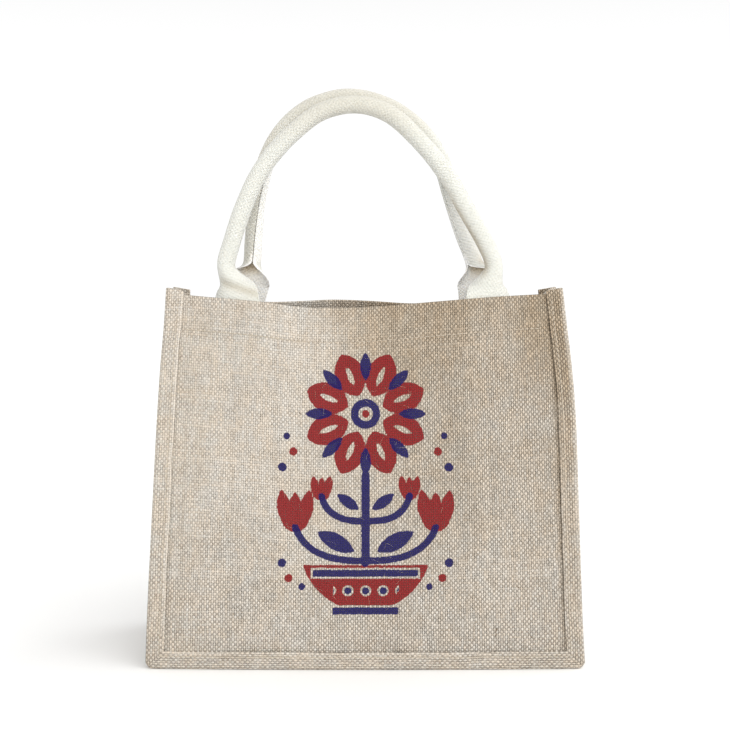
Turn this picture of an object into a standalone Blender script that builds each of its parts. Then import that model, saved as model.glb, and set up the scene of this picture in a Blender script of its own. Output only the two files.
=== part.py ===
"""A burlap shopping bag that stands open and empty on its base.

Seven sewn pieces: two panels, one gusset band (side, base, side) whose doubled edges lie on the
panels as flat strips, and two handles of cotton webbing rolled round a cord.

Frame: metres, +Z up, the front faces -Y, and the origin is at the middle of the base on the floor.
A "side" is -1 for the front or the left, and +1 for the back or the right.
"""

import math
from collections import namedtuple

import bmesh
import bpy
from mathutils import Vector

MM = 0.001

# Bag
STRIP_TOP = 347 * MM  # outer corner of the strips above the floor
BASE_DEPTH = 160 * MM  # front to back along the base
RIM_DEPTH = 54 * MM  # front to back at the side seams of the rim
BASE_BOW = 4 * MM  # how far the middle of a base edge stands out
RIM_BOW = 12 * MM  # how far the middle of the rim stands out
LEAN_START = 15 * MM  # the faces stand plumb below this height
LEAN_POWER = 1.5

# Cloth
BURLAP = 2.0 * MM
HEM = 3.6 * MM  # turned double
HEM_HEIGHT = 34 * MM
GAP = 0.3 * MM

# Strips on the edges of the faces
STRIP_WIDTH = 16.5 * MM
STRIP_THICKNESS = 3.6 * MM
STRIP_SLOPE = 3 * MM  # its inner corner at the top is this much lower
CORNER_RADIUS = 7 * MM
MITRE_RADIUS = 1.5 * MM
ROLL_RADIUS = 3.6 * MM  # round outer edge between strip and side wall
SEAM_MARGIN = 8 * MM  # from the outer edge to the hidden edge of a panel

# Side walls, folded inward towards the rim
STRAIGHT_SEAM = 6 * MM  # next to each strip the wall stays square to it
FOLD_SKEW = {-1: 1.08, 1: 0.93}  # moves the fold off the middle, by side
WALL_DROOP = 9 * MM  # the folded wall's top edge hangs this far below the strips' top
DROOP_INWARD = (4 * MM, 24 * MM)  # from none to all of it, measured inward from the edge
DROOP_HEIGHT = 60 * MM  # below the top by this much, nothing is left of it

# Handles
WEB_WIDTH = 42 * MM
WEB_THICKNESS = 1.8 * MM
TUBE_RADIUS = 8.5 * MM
CORE_RADIUS = 6.0 * MM
TAB_GAP = 0.6 * MM  # between a sewn tab and the hem
ROLL_START = {-1: 332 * MM, 1: 350 * MM}  # up to here a web is flat, by face
ROLL_END = {-1: 368 * MM, 1: 372 * MM}  # from here up it is closed to a tube
CORE_MARGIN = 3 * MM  # the cord starts this far into the tube
ARCH_TOP = 500 * MM  # from here up a handle hangs in one plane
ARCH_Y = {-1: -20.5 * MM, 1: 20.5 * MM}  # the web's middle line in that plane

# Mesh steps
SIDE_STEPS = 13
CORNER_STEPS = 3
BASE_STEPS = 10
WALL_STEPS = 14
PANEL_COLUMNS = 28
PANEL_ROWS = 13
HANDLE_STEPS = 2  # between two rows of a handle's table
WEB_STEPS = 12
CORE_SIDES = 8

# Outer edge of the strips, in millimetres from the middle
Edge = namedtuple("Edge", "height left right")
EDGES = (
    Edge(0, 200.7, 201.0),
    Edge(45, 199.3, 198.9),
    Edge(136, 196.0, 196.9),
    Edge(230, 193.0, 195.6),
    Edge(275, 191.1, 193.0),
    Edge(312, 188.9, 189.6),
    Edge(347, 187.7, 186.6),
)

# Height of the rim along its length, in millimetres
Rim = namedtuple("Rim", "across front back")
RIMS = (
    Rim(-190, 341.5, 340.0),
    Rim(-100, 334.2, 332.0),
    Rim(-62, 329.4, 332.7),
    Rim(-32, 328.3, 334.0),
    Rim(5, 329.3, 332.8),
    Rim(50, 332.8, 330.3),
    Rim(110, 337.6, 333.5),
    Rim(190, 342.0, 340.0),
)

# Soft upright ridges (out) and troughs (in) of the panels, in millimetres
Fold = namedtuple("Fold", "across low high width out")
FOLDS = {
    -1: (
        Fold(90, 120, 347, 15, 2.0),
        Fold(139, 110, 347, 20, -3.0),
        Fold(-96, 170, 347, 26, 1.8),
        Fold(28, 215, 347, 30, -1.6),
    ),
    1: (
        Fold(-60, 90, 347, 28, 2.4),
        Fold(10, 140, 347, 24, -2.0),
        Fold(70, 60, 300, 30, 2.0),
    ),
}
BELLY = {-1: 7 * MM, 1: 6 * MM}  # the panels' round middle

# Middle of each handle from its left tab to its right one, in millimetres
Point = namedtuple("Point", "across height")
HANDLES = {
    -1: (
        Point(-119, 290), Point(-119, 312), Point(-119.5, 332), Point(-125, 350), Point(-131.5, 368),
        Point(-126, 390), Point(-115, 423), Point(-99, 457), Point(-74, 488), Point(-42, 513),
        Point(-8, 520), Point(24, 510.5), Point(55, 482), Point(79, 451), Point(98, 417),
        Point(114, 389), Point(122, 368), Point(118.5, 350), Point(115.5, 332), Point(115.5, 312),
        Point(115.5, 290),
    ),
    1: (
        Point(-121, 290), Point(-121, 312), Point(-120, 332), Point(-115, 350), Point(-110.5, 368),
        Point(-108, 402), Point(-103.5, 438), Point(-94, 473), Point(-78, 500), Point(-52, 521),
        Point(-16, 530), Point(20, 522), Point(50, 502), Point(72, 473), Point(83, 438),
        Point(93, 407), Point(103, 381), Point(108.5, 364), Point(112, 348), Point(113.5, 332),
        Point(113.5, 312), Point(113.5, 290),
    ),
}

# Colours from the photograph, linear
BURLAP_COLOUR = (0.52, 0.45, 0.35, 1.0)
WEB_COLOUR = (0.78, 0.78, 0.72, 1.0)
CORE_COLOUR = (0.56, 0.52, 0.44, 1.0)


# ---------------------------------------------------------------- small maths


def mix(a, b, part):
    return a + (b - a) * part


def ease(value, low, high):
    """0 below low, 1 above high, and a smooth step between them."""
    part = min(1.0, max(0.0, (value - low) / (high - low)))
    return part * part * (3.0 - 2.0 * part)


def table_value(rows, key, column, at):
    """Reads one column of a table of millimetres at a place between its rows, on a smooth curve."""
    keys = [getattr(row, key) * MM for row in rows]
    values = [getattr(row, column) * MM for row in rows]
    at = min(keys[-1], max(keys[0], at))
    right = next(i for i in range(1, len(keys)) if at <= keys[i])
    left = right - 1

    def slope(i):
        before, after = max(0, i - 1), min(len(keys) - 1, i + 1)
        return (values[after] - values[before]) / (keys[after] - keys[before])

    span = keys[right] - keys[left]
    t = (at - keys[left]) / span
    return (
        (2 * t**3 - 3 * t**2 + 1) * values[left]
        + (t**3 - 2 * t**2 + t) * span * slope(left)
        + (3 * t**2 - 2 * t**3) * values[right]
        + (t**3 - t**2) * span * slope(right)
    )


def smooth_route(points, steps):
    """Points on a smooth curve through a handle's table, with its direction at each."""
    route = []
    for i in range(len(points) - 1):
        rows = [points[min(len(points) - 1, max(0, i + k))] for k in (-1, 0, 1, 2)]
        p0, p1, p2, p3 = (Vector((row.across, 0.0, row.height)) * MM for row in rows)
        last = i == len(points) - 2
        for step in range(steps + 1 if last else steps):
            t = step / steps
            place = 0.5 * (
                2 * p1
                + (p2 - p0) * t
                + (2 * p0 - 5 * p1 + 4 * p2 - p3) * t**2
                + (3 * p1 - p0 - 3 * p2 + p3) * t**3
            )
            slope = 0.5 * (
                (p2 - p0)
                + 2 * (2 * p0 - 5 * p1 + 4 * p2 - p3) * t
                + 3 * (3 * p1 - p0 - 3 * p2 + p3) * t**2
            )
            route.append((place, slope.normalized()))
    return route


# ---------------------------------------------------------------- the bag's form


def edge_x(side, z):
    """Outer edge of the left (-1) or right (+1) strip at a height."""
    return side * table_value(EDGES, "height", "left" if side < 0 else "right", z)


def rim_z(face, x):
    return table_value(RIMS, "across", "front" if face < 0 else "back", x)


def half_depth(z):
    """From the middle plane to a strip's outer face at the side seam."""
    part = max(0.0, z - LEAN_START) / (STRIP_TOP - LEAN_START)
    return (BASE_DEPTH - (BASE_DEPTH - RIM_DEPTH) * part**LEAN_POWER) / 2


def strip_out(x, z):
    """How far the strips' outer face stands from the middle plane."""
    edge = abs(edge_x(1 if x > 0 else -1, z))
    bow = mix(BASE_BOW, RIM_BOW, z / STRIP_TOP)
    return half_depth(z) + bow * max(0.0, 1.0 - (x / edge) ** 2)


def panel_out(face, x, z):
    """How far a panel's outer face stands from the middle plane."""
    edge = abs(edge_x(1 if x > 0 else -1, z))
    inside = ease(edge - abs(x), STRIP_WIDTH, 90 * MM) * ease(z, STRIP_WIDTH, 150 * MM)
    high = 1.0 - 0.55 * ease(z, 190 * MM, STRIP_TOP)
    out = strip_out(x, z) - STRIP_THICKNESS - GAP + BELLY[face] * inside * high
    near_edge = ease(edge - abs(x), STRIP_WIDTH, 45 * MM)
    for fold in FOLDS[face]:
        along = ease(z, fold.low * MM, (fold.low + 90) * MM)
        along *= 1.0 - ease(z, (fold.high - 5) * MM, (fold.high + 60) * MM)
        bump = math.exp(-(((x / MM - fold.across) / fold.width) ** 2))
        out += fold.out * MM * bump * along * near_edge
    return out


# ---------------------------------------------------------------- solids


def material(name, colour, roughness):
    made = bpy.data.materials.new(name)
    made.use_nodes = True
    shader = made.node_tree.nodes["Principled BSDF"]
    shader.inputs["Base Color"].default_value = colour
    shader.inputs["Roughness"].default_value = roughness
    shader.inputs["Metallic"].default_value = 0.0
    return made


def add_object(name, bm, finish):
    bmesh.ops.recalc_face_normals(bm, faces=bm.faces)
    mesh = bpy.data.meshes.new(name)
    bm.to_mesh(mesh)
    bm.free()
    mesh.shade_smooth()
    mesh.set_sharp_from_angle(angle=math.radians(50))
    mesh.materials.append(finish)
    made = bpy.data.objects.new(name, mesh)
    bpy.context.collection.objects.link(made)
    return made


def thick_sheet(name, outer, inner, finish):
    """A closed sheet between two grids of points of the same size."""
    bm = bmesh.new()
    front = [[bm.verts.new(p) for p in row] for row in outer]
    back = [[bm.verts.new(p) for p in row] for row in inner]
    rows, columns = len(outer), len(outer[0])
    for i in range(rows - 1):
        for j in range(columns - 1):
            bm.faces.new((front[i][j], front[i][j + 1], front[i + 1][j + 1], front[i + 1][j]))
            bm.faces.new((back[i][j], back[i + 1][j], back[i + 1][j + 1], back[i][j + 1]))
    for j in range(columns - 1):
        for i in (0, rows - 1):
            bm.faces.new((front[i][j], front[i][j + 1], back[i][j + 1], back[i][j]))
    for i in range(rows - 1):
        for j in (0, columns - 1):
            bm.faces.new((front[i][j], front[i + 1][j], back[i + 1][j], back[i][j]))
    return add_object(name, bm, finish)


def build_panel(name, face, finish):
    """One face of the bag, with its top hem turned to the inside."""
    edge_columns = (SEAM_MARGIN, STRIP_WIDTH + 1 * MM)
    levels = [SEAM_MARGIN, STRIP_WIDTH + 1 * MM]
    body_rows = PANEL_ROWS - 2
    outer, inner = [], []
    for row in range(PANEL_ROWS + 3):
        out_row, in_row = [], []
        for column in range(PANEL_COLUMNS + 1):
            # Columns follow the seams, so their place across is a share of the width at each height
            share = mix(-1.0, 1.0, (column - 1) / (PANEL_COLUMNS - 2))
            side = -1 if column < PANEL_COLUMNS / 2 else 1
            inset = edge_columns[0 if column in (0, PANEL_COLUMNS) else 1]
            share = min(1.0, max(-1.0, share))
            top = rim_z(face, share * 183 * MM)
            hem_foot = top - HEM_HEIGHT
            if row < 2:
                z = levels[row]
            elif row < PANEL_ROWS:
                z = mix(levels[1], hem_foot, (row - 1) / body_rows)
            else:
                z = (hem_foot, hem_foot + 1 * MM, top)[row - PANEL_ROWS]
            x = share * (abs(edge_x(side, z)) - inset)
            out = panel_out(face, x, z)
            thickness = HEM if row > PANEL_ROWS else BURLAP
            out_row.append(Vector((x, face * out, z)))
            in_row.append(Vector((x, face * (out - thickness), z)))
        outer.append(out_row)
        inner.append(in_row)
    return thick_sheet(name, outer, inner, finish)


def gusset_path():
    """Stations down the left side, along the base and up the right side.

    Each is the outer edge and the strip's inner edge, as seen from the front, with y left at 0.
    """
    side_path = []
    for step in range(SIDE_STEPS + 1):
        z = mix(STRIP_TOP, STRIP_WIDTH + MITRE_RADIUS, step / SIDE_STEPS)
        drop = STRIP_SLOPE * ease(z, STRIP_TOP - 30 * MM, STRIP_TOP)
        side_path.append((z, drop))
    half = {side: abs(edge_x(side, 0.0)) for side in (-1, 1)}
    path = []
    for side in (-1, 1):
        run = []
        for z, drop in side_path:
            x = abs(edge_x(side, z))
            run.append((Vector((side * x, 0, z)), Vector((side * (x - STRIP_WIDTH), 0, z - drop))))
        for step in range(1, CORNER_STEPS + 1):
            turn = math.radians(90) * step / CORNER_STEPS
            across, down = math.cos(turn), math.sin(turn)
            outer_centre = half[side] - CORNER_RADIUS
            inner_centre = half[side] - STRIP_WIDTH - MITRE_RADIUS
            outer = Vector((
                side * (outer_centre + CORNER_RADIUS * across), 0, CORNER_RADIUS * (1 - down)))
            inner = Vector((
                side * (inner_centre + MITRE_RADIUS * across), 0,
                STRIP_WIDTH + MITRE_RADIUS * (1 - down)))
            run.append((outer, inner))
        path.append(run)
    left, right = path
    base = []
    for step in range(1, BASE_STEPS):
        part = step / BASE_STEPS
        base.append((mix(left[-1][0], right[-1][0], part), mix(left[-1][1], right[-1][1], part)))
    return left + base + right[::-1]


def wall_fold(part, span, depth, skew):
    """Inward travel of a side wall at a share of the way from front to back."""
    straight = STRAIGHT_SEAM / span
    place = min(1.0, max(0.0, (part - straight) / (1 - 2 * straight)))
    return depth * math.sin(math.pi * place**skew) ** 2


def fold_depth(span, length, skew):
    """Depth at which the folded wall has the cloth's own length. Found by halving."""
    low, high = 0.0, length / 2
    for _ in range(40):
        depth = (low + high) / 2
        places = [i / 60 for i in range(61)]
        travel = [wall_fold(p, span, depth, skew) for p in places]
        total = sum(math.hypot(span / 60, travel[i + 1] - travel[i]) for i in range(60))
        low, high = (depth, high) if total < length else (low, depth)
    return depth


def gusset_profile(outer, inner):
    """The band's section at a station, as pairs (outer face point, inner face point)."""
    inward = (inner - outer) / STRIP_WIDTH
    side = -1 if outer.x < 0 else 1
    on_side = outer.z > STRIP_WIDTH

    def place(distance, y):
        """A point this far inward from the outer edge. The top's slope ends at the strip."""
        point = outer + inward * min(distance, STRIP_WIDTH)
        point.x += inward.x * max(0.0, distance - STRIP_WIDTH)
        point.y = y
        return point

    def strip_pairs(face):
        pairs = []
        for distance in (STRIP_WIDTH, STRIP_WIDTH * 0.6, ROLL_RADIUS):
            point = place(distance, 0.0)
            out = strip_out(point.x, point.z)
            pairs.append((
                place(distance, face * out),
                place(distance, face * (out - STRIP_THICKNESS))))
        out = strip_out(outer.x, outer.z)
        bend = ROLL_RADIUS * (1 - math.sqrt(0.5))
        pairs.append((
            place(bend, face * (out - bend)),
            place(BURLAP + 0.4 * MM, face * (out - STRIP_THICKNESS - 0.1 * MM))))
        return pairs

    out = strip_out(outer.x, outer.z)
    start = out - STRIP_THICKNESS - 0.6 * MM
    span = 2 * start
    length = BASE_DEPTH - 2 * STRIP_THICKNESS - 1.2 * MM
    skew = FOLD_SKEW[side]
    depth = fold_depth(span, length, skew) if on_side and span < length else 0.0
    hang = WALL_DROOP * ease(outer.z, STRIP_TOP - DROOP_HEIGHT, STRIP_TOP)
    wall = []
    for step in range(WALL_STEPS + 1):
        part = step / WALL_STEPS
        y = mix(-start, start, part)
        distance = wall_fold(part, span, depth, skew)
        before = wall_fold(max(0.0, part - 0.01), span, depth, skew)
        after = wall_fold(min(1.0, part + 0.01), span, depth, skew)
        along = Vector((after - before, 0.02 * span)).normalized()
        pair = (
            place(distance, y),
            place(distance + BURLAP * along.y, y - BURLAP * along.x))
        for point in pair:
            point.z -= hang * ease(distance, *DROOP_INWARD)
        wall.append(pair)
    return strip_pairs(-1) + wall + strip_pairs(1)[::-1]


def build_gusset(finish):
    """One band: left wall, base, right wall, with its doubled strips on both faces."""
    sections = [gusset_profile(outer, inner) for outer, inner in gusset_path()]
    outer = [[pair[0] for pair in section] for section in sections]
    inner = [[pair[1] for pair in section] for section in sections]
    return thick_sheet("gusset", outer, inner, finish)


# ---------------------------------------------------------------- handles


def tab_y(face, x, z):
    """Middle of the web where it lies on the inside of a hem. Above the rim it stays plumb."""
    return face * (panel_out(face, x, min(z, STRIP_TOP)) - HEM - TAB_GAP - WEB_THICKNESS / 2)


def handle_spine(face):
    """The line along the web's middle: place, direction, and how far it is rolled, 0 to 1."""
    spine = []
    for place, direction in smooth_route(HANDLES[face], HANDLE_STEPS):
        rolled = ease(place.z, ROLL_START[face], ROLL_END[face])
        rise = ease(place.z, STRIP_TOP, ARCH_TOP)
        place.y = mix(tab_y(face, place.x, place.z), ARCH_Y[face], rise)
        spine.append((place, direction, rolled))
    return spine


def build_web(name, face, finish):
    """Webbing, flat at both tabs and rolled to a tube between, its slot to the inside."""
    inside = Vector((0, -face, 0))
    roll_radius = TUBE_RADIUS - WEB_THICKNESS / 2
    outer, inner = [], []
    for place, direction, rolled in handle_spine(face):
        across = direction.cross(inside).normalized()
        curve = rolled / roll_radius
        out_row, in_row = [], []
        for step in range(WEB_STEPS + 1):
            u = mix(-WEB_WIDTH / 2, WEB_WIDTH / 2, step / WEB_STEPS)
            angle = curve * u
            if rolled > 0.0:
                sideways, depth = math.sin(angle) / curve, (1 - math.cos(angle)) / curve
            else:
                sideways, depth = u, 0.0
            middle = place + across * sideways + inside * depth
            lie = tab_y(face, middle.x, middle.z) - tab_y(face, place.x, place.z)
            middle.y += lie * (1 - rolled)
            normal = inside * math.cos(angle) - across * math.sin(angle)
            out_row.append(middle - normal * WEB_THICKNESS / 2)
            in_row.append(middle + normal * WEB_THICKNESS / 2)
        outer.append(out_row)
        inner.append(in_row)
    return thick_sheet(name, outer, inner, finish)


def build_core(name, face, finish):
    """Round cord along the middle of the rolled web."""
    inside = Vector((0, -face, 0))
    bm = bmesh.new()
    rings = []
    for place, direction, _ in handle_spine(face):
        if place.z < ROLL_END[face] + CORE_MARGIN:
            continue
        across = direction.cross(inside).normalized()
        middle = place + inside * (TUBE_RADIUS - WEB_THICKNESS / 2)
        ring = []
        for step in range(CORE_SIDES):
            turn = math.tau * (step + 0.5) / CORE_SIDES
            ring.append(bm.verts.new(
                middle + (across * math.cos(turn) + inside * math.sin(turn)) * CORE_RADIUS))
        rings.append(ring)
    for ring, following in zip(rings, rings[1:]):
        for step in range(CORE_SIDES):
            beside = (step + 1) % CORE_SIDES
            bm.faces.new((ring[step], ring[beside], following[beside], following[step]))
    bm.faces.new(rings[0])
    bm.faces.new(rings[-1][::-1])
    return add_object(name, bm, finish)


def main():
    for old in list(bpy.data.objects):
        bpy.data.objects.remove(old, do_unlink=True)
    build_panel("front_panel", -1, material("front_burlap", BURLAP_COLOUR, 0.92))
    build_panel("back_panel", 1, material("back_burlap", BURLAP_COLOUR, 0.92))
    build_gusset(material("gusset_burlap", BURLAP_COLOUR, 0.92))
    for face, name in ((-1, "front"), (1, "back")):
        build_web(f"handle_{name}", face, material(f"{name}_webbing", WEB_COLOUR, 0.85))
        build_core(f"handle_{name}_core", face, material(f"{name}_core_cord", CORE_COLOUR, 0.9))


main()
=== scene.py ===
"""Looks of a burlap shopping bag that stands opened and empty on a pale floor.

The cloth follows the same sizes as the solids it stands for: two panels, one gusset band whose
doubled edges lie on the panels as flat strips, and two handles of cotton webbing rolled round a
cord. Over them come the stitches and the loose fibres of the jute.

Frame: metres, +Z up, the front faces -Y. Tables are in millimetres.
"""
import logging
import math
from dataclasses import dataclass, field
from enum import Enum

import bpy
import numpy as np
from bpy.types import Material, Mesh, Node, NodeSocket, Object
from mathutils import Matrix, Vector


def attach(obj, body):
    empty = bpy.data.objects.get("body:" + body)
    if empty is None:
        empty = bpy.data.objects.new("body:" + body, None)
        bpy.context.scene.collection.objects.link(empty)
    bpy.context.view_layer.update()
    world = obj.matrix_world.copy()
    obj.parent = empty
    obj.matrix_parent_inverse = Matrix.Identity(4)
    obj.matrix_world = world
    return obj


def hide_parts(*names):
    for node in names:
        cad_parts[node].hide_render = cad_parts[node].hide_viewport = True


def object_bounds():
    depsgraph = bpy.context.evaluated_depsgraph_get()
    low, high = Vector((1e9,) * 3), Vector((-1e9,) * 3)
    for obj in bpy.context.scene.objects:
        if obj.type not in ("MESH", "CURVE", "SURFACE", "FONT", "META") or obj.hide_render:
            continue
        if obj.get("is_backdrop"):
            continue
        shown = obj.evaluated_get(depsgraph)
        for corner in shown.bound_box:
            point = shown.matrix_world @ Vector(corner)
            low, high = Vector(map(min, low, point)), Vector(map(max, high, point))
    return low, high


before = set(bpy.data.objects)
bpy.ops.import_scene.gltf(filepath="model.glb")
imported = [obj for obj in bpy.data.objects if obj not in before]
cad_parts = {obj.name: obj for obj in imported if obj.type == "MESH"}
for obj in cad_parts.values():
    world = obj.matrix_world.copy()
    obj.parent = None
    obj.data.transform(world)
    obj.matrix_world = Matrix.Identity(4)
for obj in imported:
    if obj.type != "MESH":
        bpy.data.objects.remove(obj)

logging.basicConfig(level=logging.INFO, format="%(message)s")
LOG = logging.getLogger("bag")

MM = 0.001
Row = tuple[float, ...]
Pair = tuple[float, float]
Triple = tuple[float, float, float]
Colour = Triple
Point = Pair
Array = np.ndarray
Values = Array | float
Inks = tuple[list[Array], list[Array]]
NO_INK = -9.0
Number = "Wire | float"


class Face(Enum):
    """A face of the bag. Its value is the way it faces along y."""

    FRONT = -1
    BACK = 1


class Slot(Enum):
    """The finish slots of the part's record."""

    PRINTED = "printed_burlap"
    BURLAP = "burlap"
    WEBBING = "webbing"
    CORD = "core_cord"


# ---- small maths


def mix(a: Values, b: Values, part: Values) -> Values:
    """Goes from a to b as part goes from 0 to 1."""
    return a + (b - a) * part


def ease(value: Values, low: Values, high: Values) -> Array:
    """0 below low, 1 above high, and a smooth step between them."""
    part = np.clip((value - low) / (high - low), 0.0, 1.0)
    return part * part * (3.0 - 2.0 * part)


def bell(value: Values, middle: Values, width: float) -> Array:
    """1 at the middle, and falling off to nearly 0 at twice the width from it."""
    return np.exp(-(((value - middle) / width) ** 2))


def unit(vectors: Array) -> Array:
    """Scales each vector to a length of one."""
    return vectors / np.maximum(np.linalg.norm(vectors, axis=-1, keepdims=True), 1e-12)


def lengths_along(points: Array) -> Array:
    """Distance from the first point to each point of a line, along the line."""
    steps = np.linalg.norm(np.diff(points, axis=0), axis=1)
    return np.concatenate([[0.0], np.cumsum(steps)])


def quads(grid: Array) -> Array:
    """The corners of each square of a grid.

    Args:
        grid: Point numbers or places, by row and column.

    Returns:
        The same, by row, column and corner.
    """
    return np.stack([grid[:-1, :-1], grid[:-1, 1:], grid[1:, 1:], grid[1:, :-1]], 2)


def ring_quads(rings: Array) -> Array:
    """The squares of a tube, as rows of four point numbers, from its rings of point numbers."""
    return quads(np.concatenate([rings, rings[:, :1]], axis=1)).reshape(-1, 4)


@dataclass(frozen=True)
class Curve:
    """A smooth curve through a short table of millimetres.

    Attributes:
        keys: Rising places.
        values: The value at each place.
    """

    keys: Row
    values: Row

    def at(self, place: Array) -> Array:
        """Reads the curve.

        Args:
            place: Places in metres.

        Returns:
            Values in metres.
        """
        keys, values = np.asarray(self.keys) * MM, np.asarray(self.values) * MM
        around, beside = np.pad(values, 1, "edge"), np.pad(keys, 1, "edge")
        slopes = (around[2:] - around[:-2]) / (beside[2:] - beside[:-2])
        place = np.clip(place, keys[0], keys[-1])
        right = np.clip(np.searchsorted(keys, place), 1, len(keys) - 1)
        left = right - 1
        span = keys[right] - keys[left]
        t = (place - keys[left]) / span
        return (
            (2 * t**3 - 3 * t**2 + 1) * values[left]
            + (t**3 - 2 * t**2 + t) * span * slopes[left]
            + (3 * t**2 - 2 * t**3) * values[right]
            + (t**3 - t**2) * span * slopes[right]
        )


class Ripple:
    """Low waves in cloth, made of a few plane waves and the same in each run."""

    count = 16

    def __init__(self, seed: int, height: float, shortest: float, longest: float) -> None:
        """Draws the waves.

        Args:
            seed: Start of the random numbers.
            height: Usual height of the waves in metres.
            shortest: Shortest wave in metres.
            longest: Longest wave in metres.
        """
        dice = np.random.default_rng(seed)
        wave = shortest * (longest / shortest) ** dice.random(self.count)
        turn = dice.random(self.count) * math.tau
        self.across = np.cos(turn) / wave
        self.up = np.sin(turn) / wave
        self.start = dice.random(self.count)
        self.height = height * math.sqrt(2.0 / self.count)

    def at(self, a: Values, b: Values) -> Array:
        """Reads the waves.

        Args:
            a: Places across the cloth in metres.
            b: Places along it in metres.

        Returns:
            Height of the waves in metres.
        """
        total = np.zeros(np.broadcast(a, b).shape)
        for across, up, start in zip(self.across, self.up, self.start):
            total += np.sin(math.tau * (a * across + b * up + start))
        return total * self.height


# ---- the bag's form


@dataclass(frozen=True)
class Fold:
    """A soft upright ridge or trough of a panel, in millimetres.

    Attributes:
        across: Its place from the middle.
        low: Where it starts above the floor.
        high: Where it ends above the floor.
        width: Half its width.
        out: How far it stands out.
    """

    across: float
    low: float
    high: float
    width: float
    out: float


@dataclass(frozen=True)
class BagForm:
    """The shape that all the cloth follows, in metres, with its tables in millimetres.

    Attributes:
        strip_top: Height of the strips' outer corners.
        base_depth: Front to back along the base.
        rim_depth: Front to back at the strips' top.
        base_bow: How far the middle of the base stands out past its corners.
        rim_bow: The same at the top.
        lean_start: Height at which the faces start to lean in.
        lean_power: How late on the way up they lean.
        burlap: Thickness of the cloth.
        hem: Thickness of the turned hem.
        hem_height: Height of the turned hem.
        hem_seam: Height of its stitches above the hem's lower edge.
        gap: Room between a strip and the panel under it.
        strip_width: Width of a strip.
        strip_thickness: Thickness of a strip, two layers.
        seam_margin: How far a panel's edge lies inside the strips' outer edge.
        left: The strips' outer edge on the left, by height.
        right: The same on the right.
        rims: Height of each panel's rim, by place across.
        folds: Each panel's soft folds.
        belly: How far each panel bulges.
        belly_side: Inset at which the bulge is full.
        belly_foot: Height at which the bulge is full.
        belly_fade: Height at which it starts to fade.
        belly_loss: Share of it that is gone at the top.
        fold_side: Inset at which the folds are full.
        fold_ends: How long a fold takes to rise, and where it fades before and after its end.
    """

    strip_top: float = 347 * MM
    base_depth: float = 160 * MM
    rim_depth: float = 54 * MM
    base_bow: float = 4 * MM
    rim_bow: float = 12 * MM
    lean_start: float = 15 * MM
    lean_power: float = 1.5
    burlap: float = 2.0 * MM
    hem: float = 3.6 * MM
    hem_height: float = 34 * MM
    hem_seam: float = 2.5 * MM
    gap: float = 0.3 * MM
    strip_width: float = 16.5 * MM
    strip_thickness: float = 3.6 * MM
    seam_margin: float = 8 * MM
    left: Curve = Curve(
        (0, 45, 136, 230, 275, 312, 347), (200.7, 199.3, 196.0, 193.0, 191.1, 188.9, 187.7))
    right: Curve = Curve(
        (0, 45, 136, 230, 275, 312, 347), (201.0, 198.9, 196.9, 195.6, 193.0, 189.6, 186.6))
    rims: dict[Face, Curve] = field(default_factory=lambda: {
        Face.FRONT: Curve(
            (-190, -100, -62, -32, 5, 50, 110, 190),
            (341.5, 334.2, 329.4, 328.3, 329.3, 332.8, 337.6, 342.0)),
        Face.BACK: Curve(
            (-190, -100, -62, -32, 5, 50, 110, 190),
            (340.0, 332.0, 332.7, 334.0, 332.8, 330.3, 333.5, 340.0)),
    })
    folds: dict[Face, tuple[Fold, ...]] = field(default_factory=lambda: {
        Face.FRONT: (
            Fold(90, 120, 347, 15, 2.0), Fold(139, 110, 347, 20, -3.0),
            Fold(-96, 170, 347, 26, 1.8), Fold(28, 215, 347, 30, -1.6)),
        Face.BACK: (
            Fold(-60, 90, 347, 28, 2.4), Fold(10, 140, 347, 24, -2.0),
            Fold(70, 60, 300, 30, 2.0)),
    })
    belly: dict[Face, float] = field(
        default_factory=lambda: {Face.FRONT: 7 * MM, Face.BACK: 6 * MM})
    belly_side: float = 90 * MM
    belly_foot: float = 150 * MM
    belly_fade: float = 190 * MM
    belly_loss: float = 0.55
    fold_side: float = 45 * MM
    fold_ends: Triple = (90, 5, 60)

    def edge(self, x: Array, z: Array) -> Array:
        """Outer edge of the strips, on the side that x is on, at a height."""
        return np.where(x > 0, self.right.at(z), self.left.at(z))

    def strip_out(self, x: Array, z: Array) -> Array:
        """How far the strips' outer face stands from the middle plane.

        Args:
            x: Places across.
            z: Heights.

        Returns:
            Distances in metres.
        """
        part = np.maximum(0.0, z - self.lean_start) / (self.strip_top - self.lean_start)
        half = (self.base_depth - (self.base_depth - self.rim_depth) * part**self.lean_power) / 2
        bow = mix(self.base_bow, self.rim_bow, z / self.strip_top)
        return half + bow * np.maximum(0.0, 1.0 - (x / self.edge(x, z)) ** 2)

    def panel_out(self, face: Face, x: Array, z: Array) -> Array:
        """How far a panel's outer face stands from the middle plane, as in the solids.

        Args:
            face: Which panel.
            x: Places across.
            z: Heights.

        Returns:
            Distances in metres.
        """
        inset = self.edge(x, z) - np.abs(x)
        inside = ease(inset, self.strip_width, self.belly_side)
        inside = inside * ease(z, self.strip_width, self.belly_foot)
        high = 1.0 - self.belly_loss * ease(z, self.belly_fade, self.strip_top)
        out = self.strip_out(x, z) - self.strip_thickness - self.gap
        out = out + self.belly[face] * inside * high
        near_edge = ease(inset, self.strip_width, self.fold_side)
        rise, before, after = self.fold_ends
        for fold in self.folds[face]:
            along = ease(z, fold.low * MM, (fold.low + rise) * MM)
            along = along * (1.0 - ease(z, (fold.high - before) * MM, (fold.high + after) * MM))
            ridge = bell(x / MM, fold.across, fold.width)
            out = out + fold.out * MM * ridge * along * near_edge
        return out


FORM = BagForm()


# ---- meshes


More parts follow.
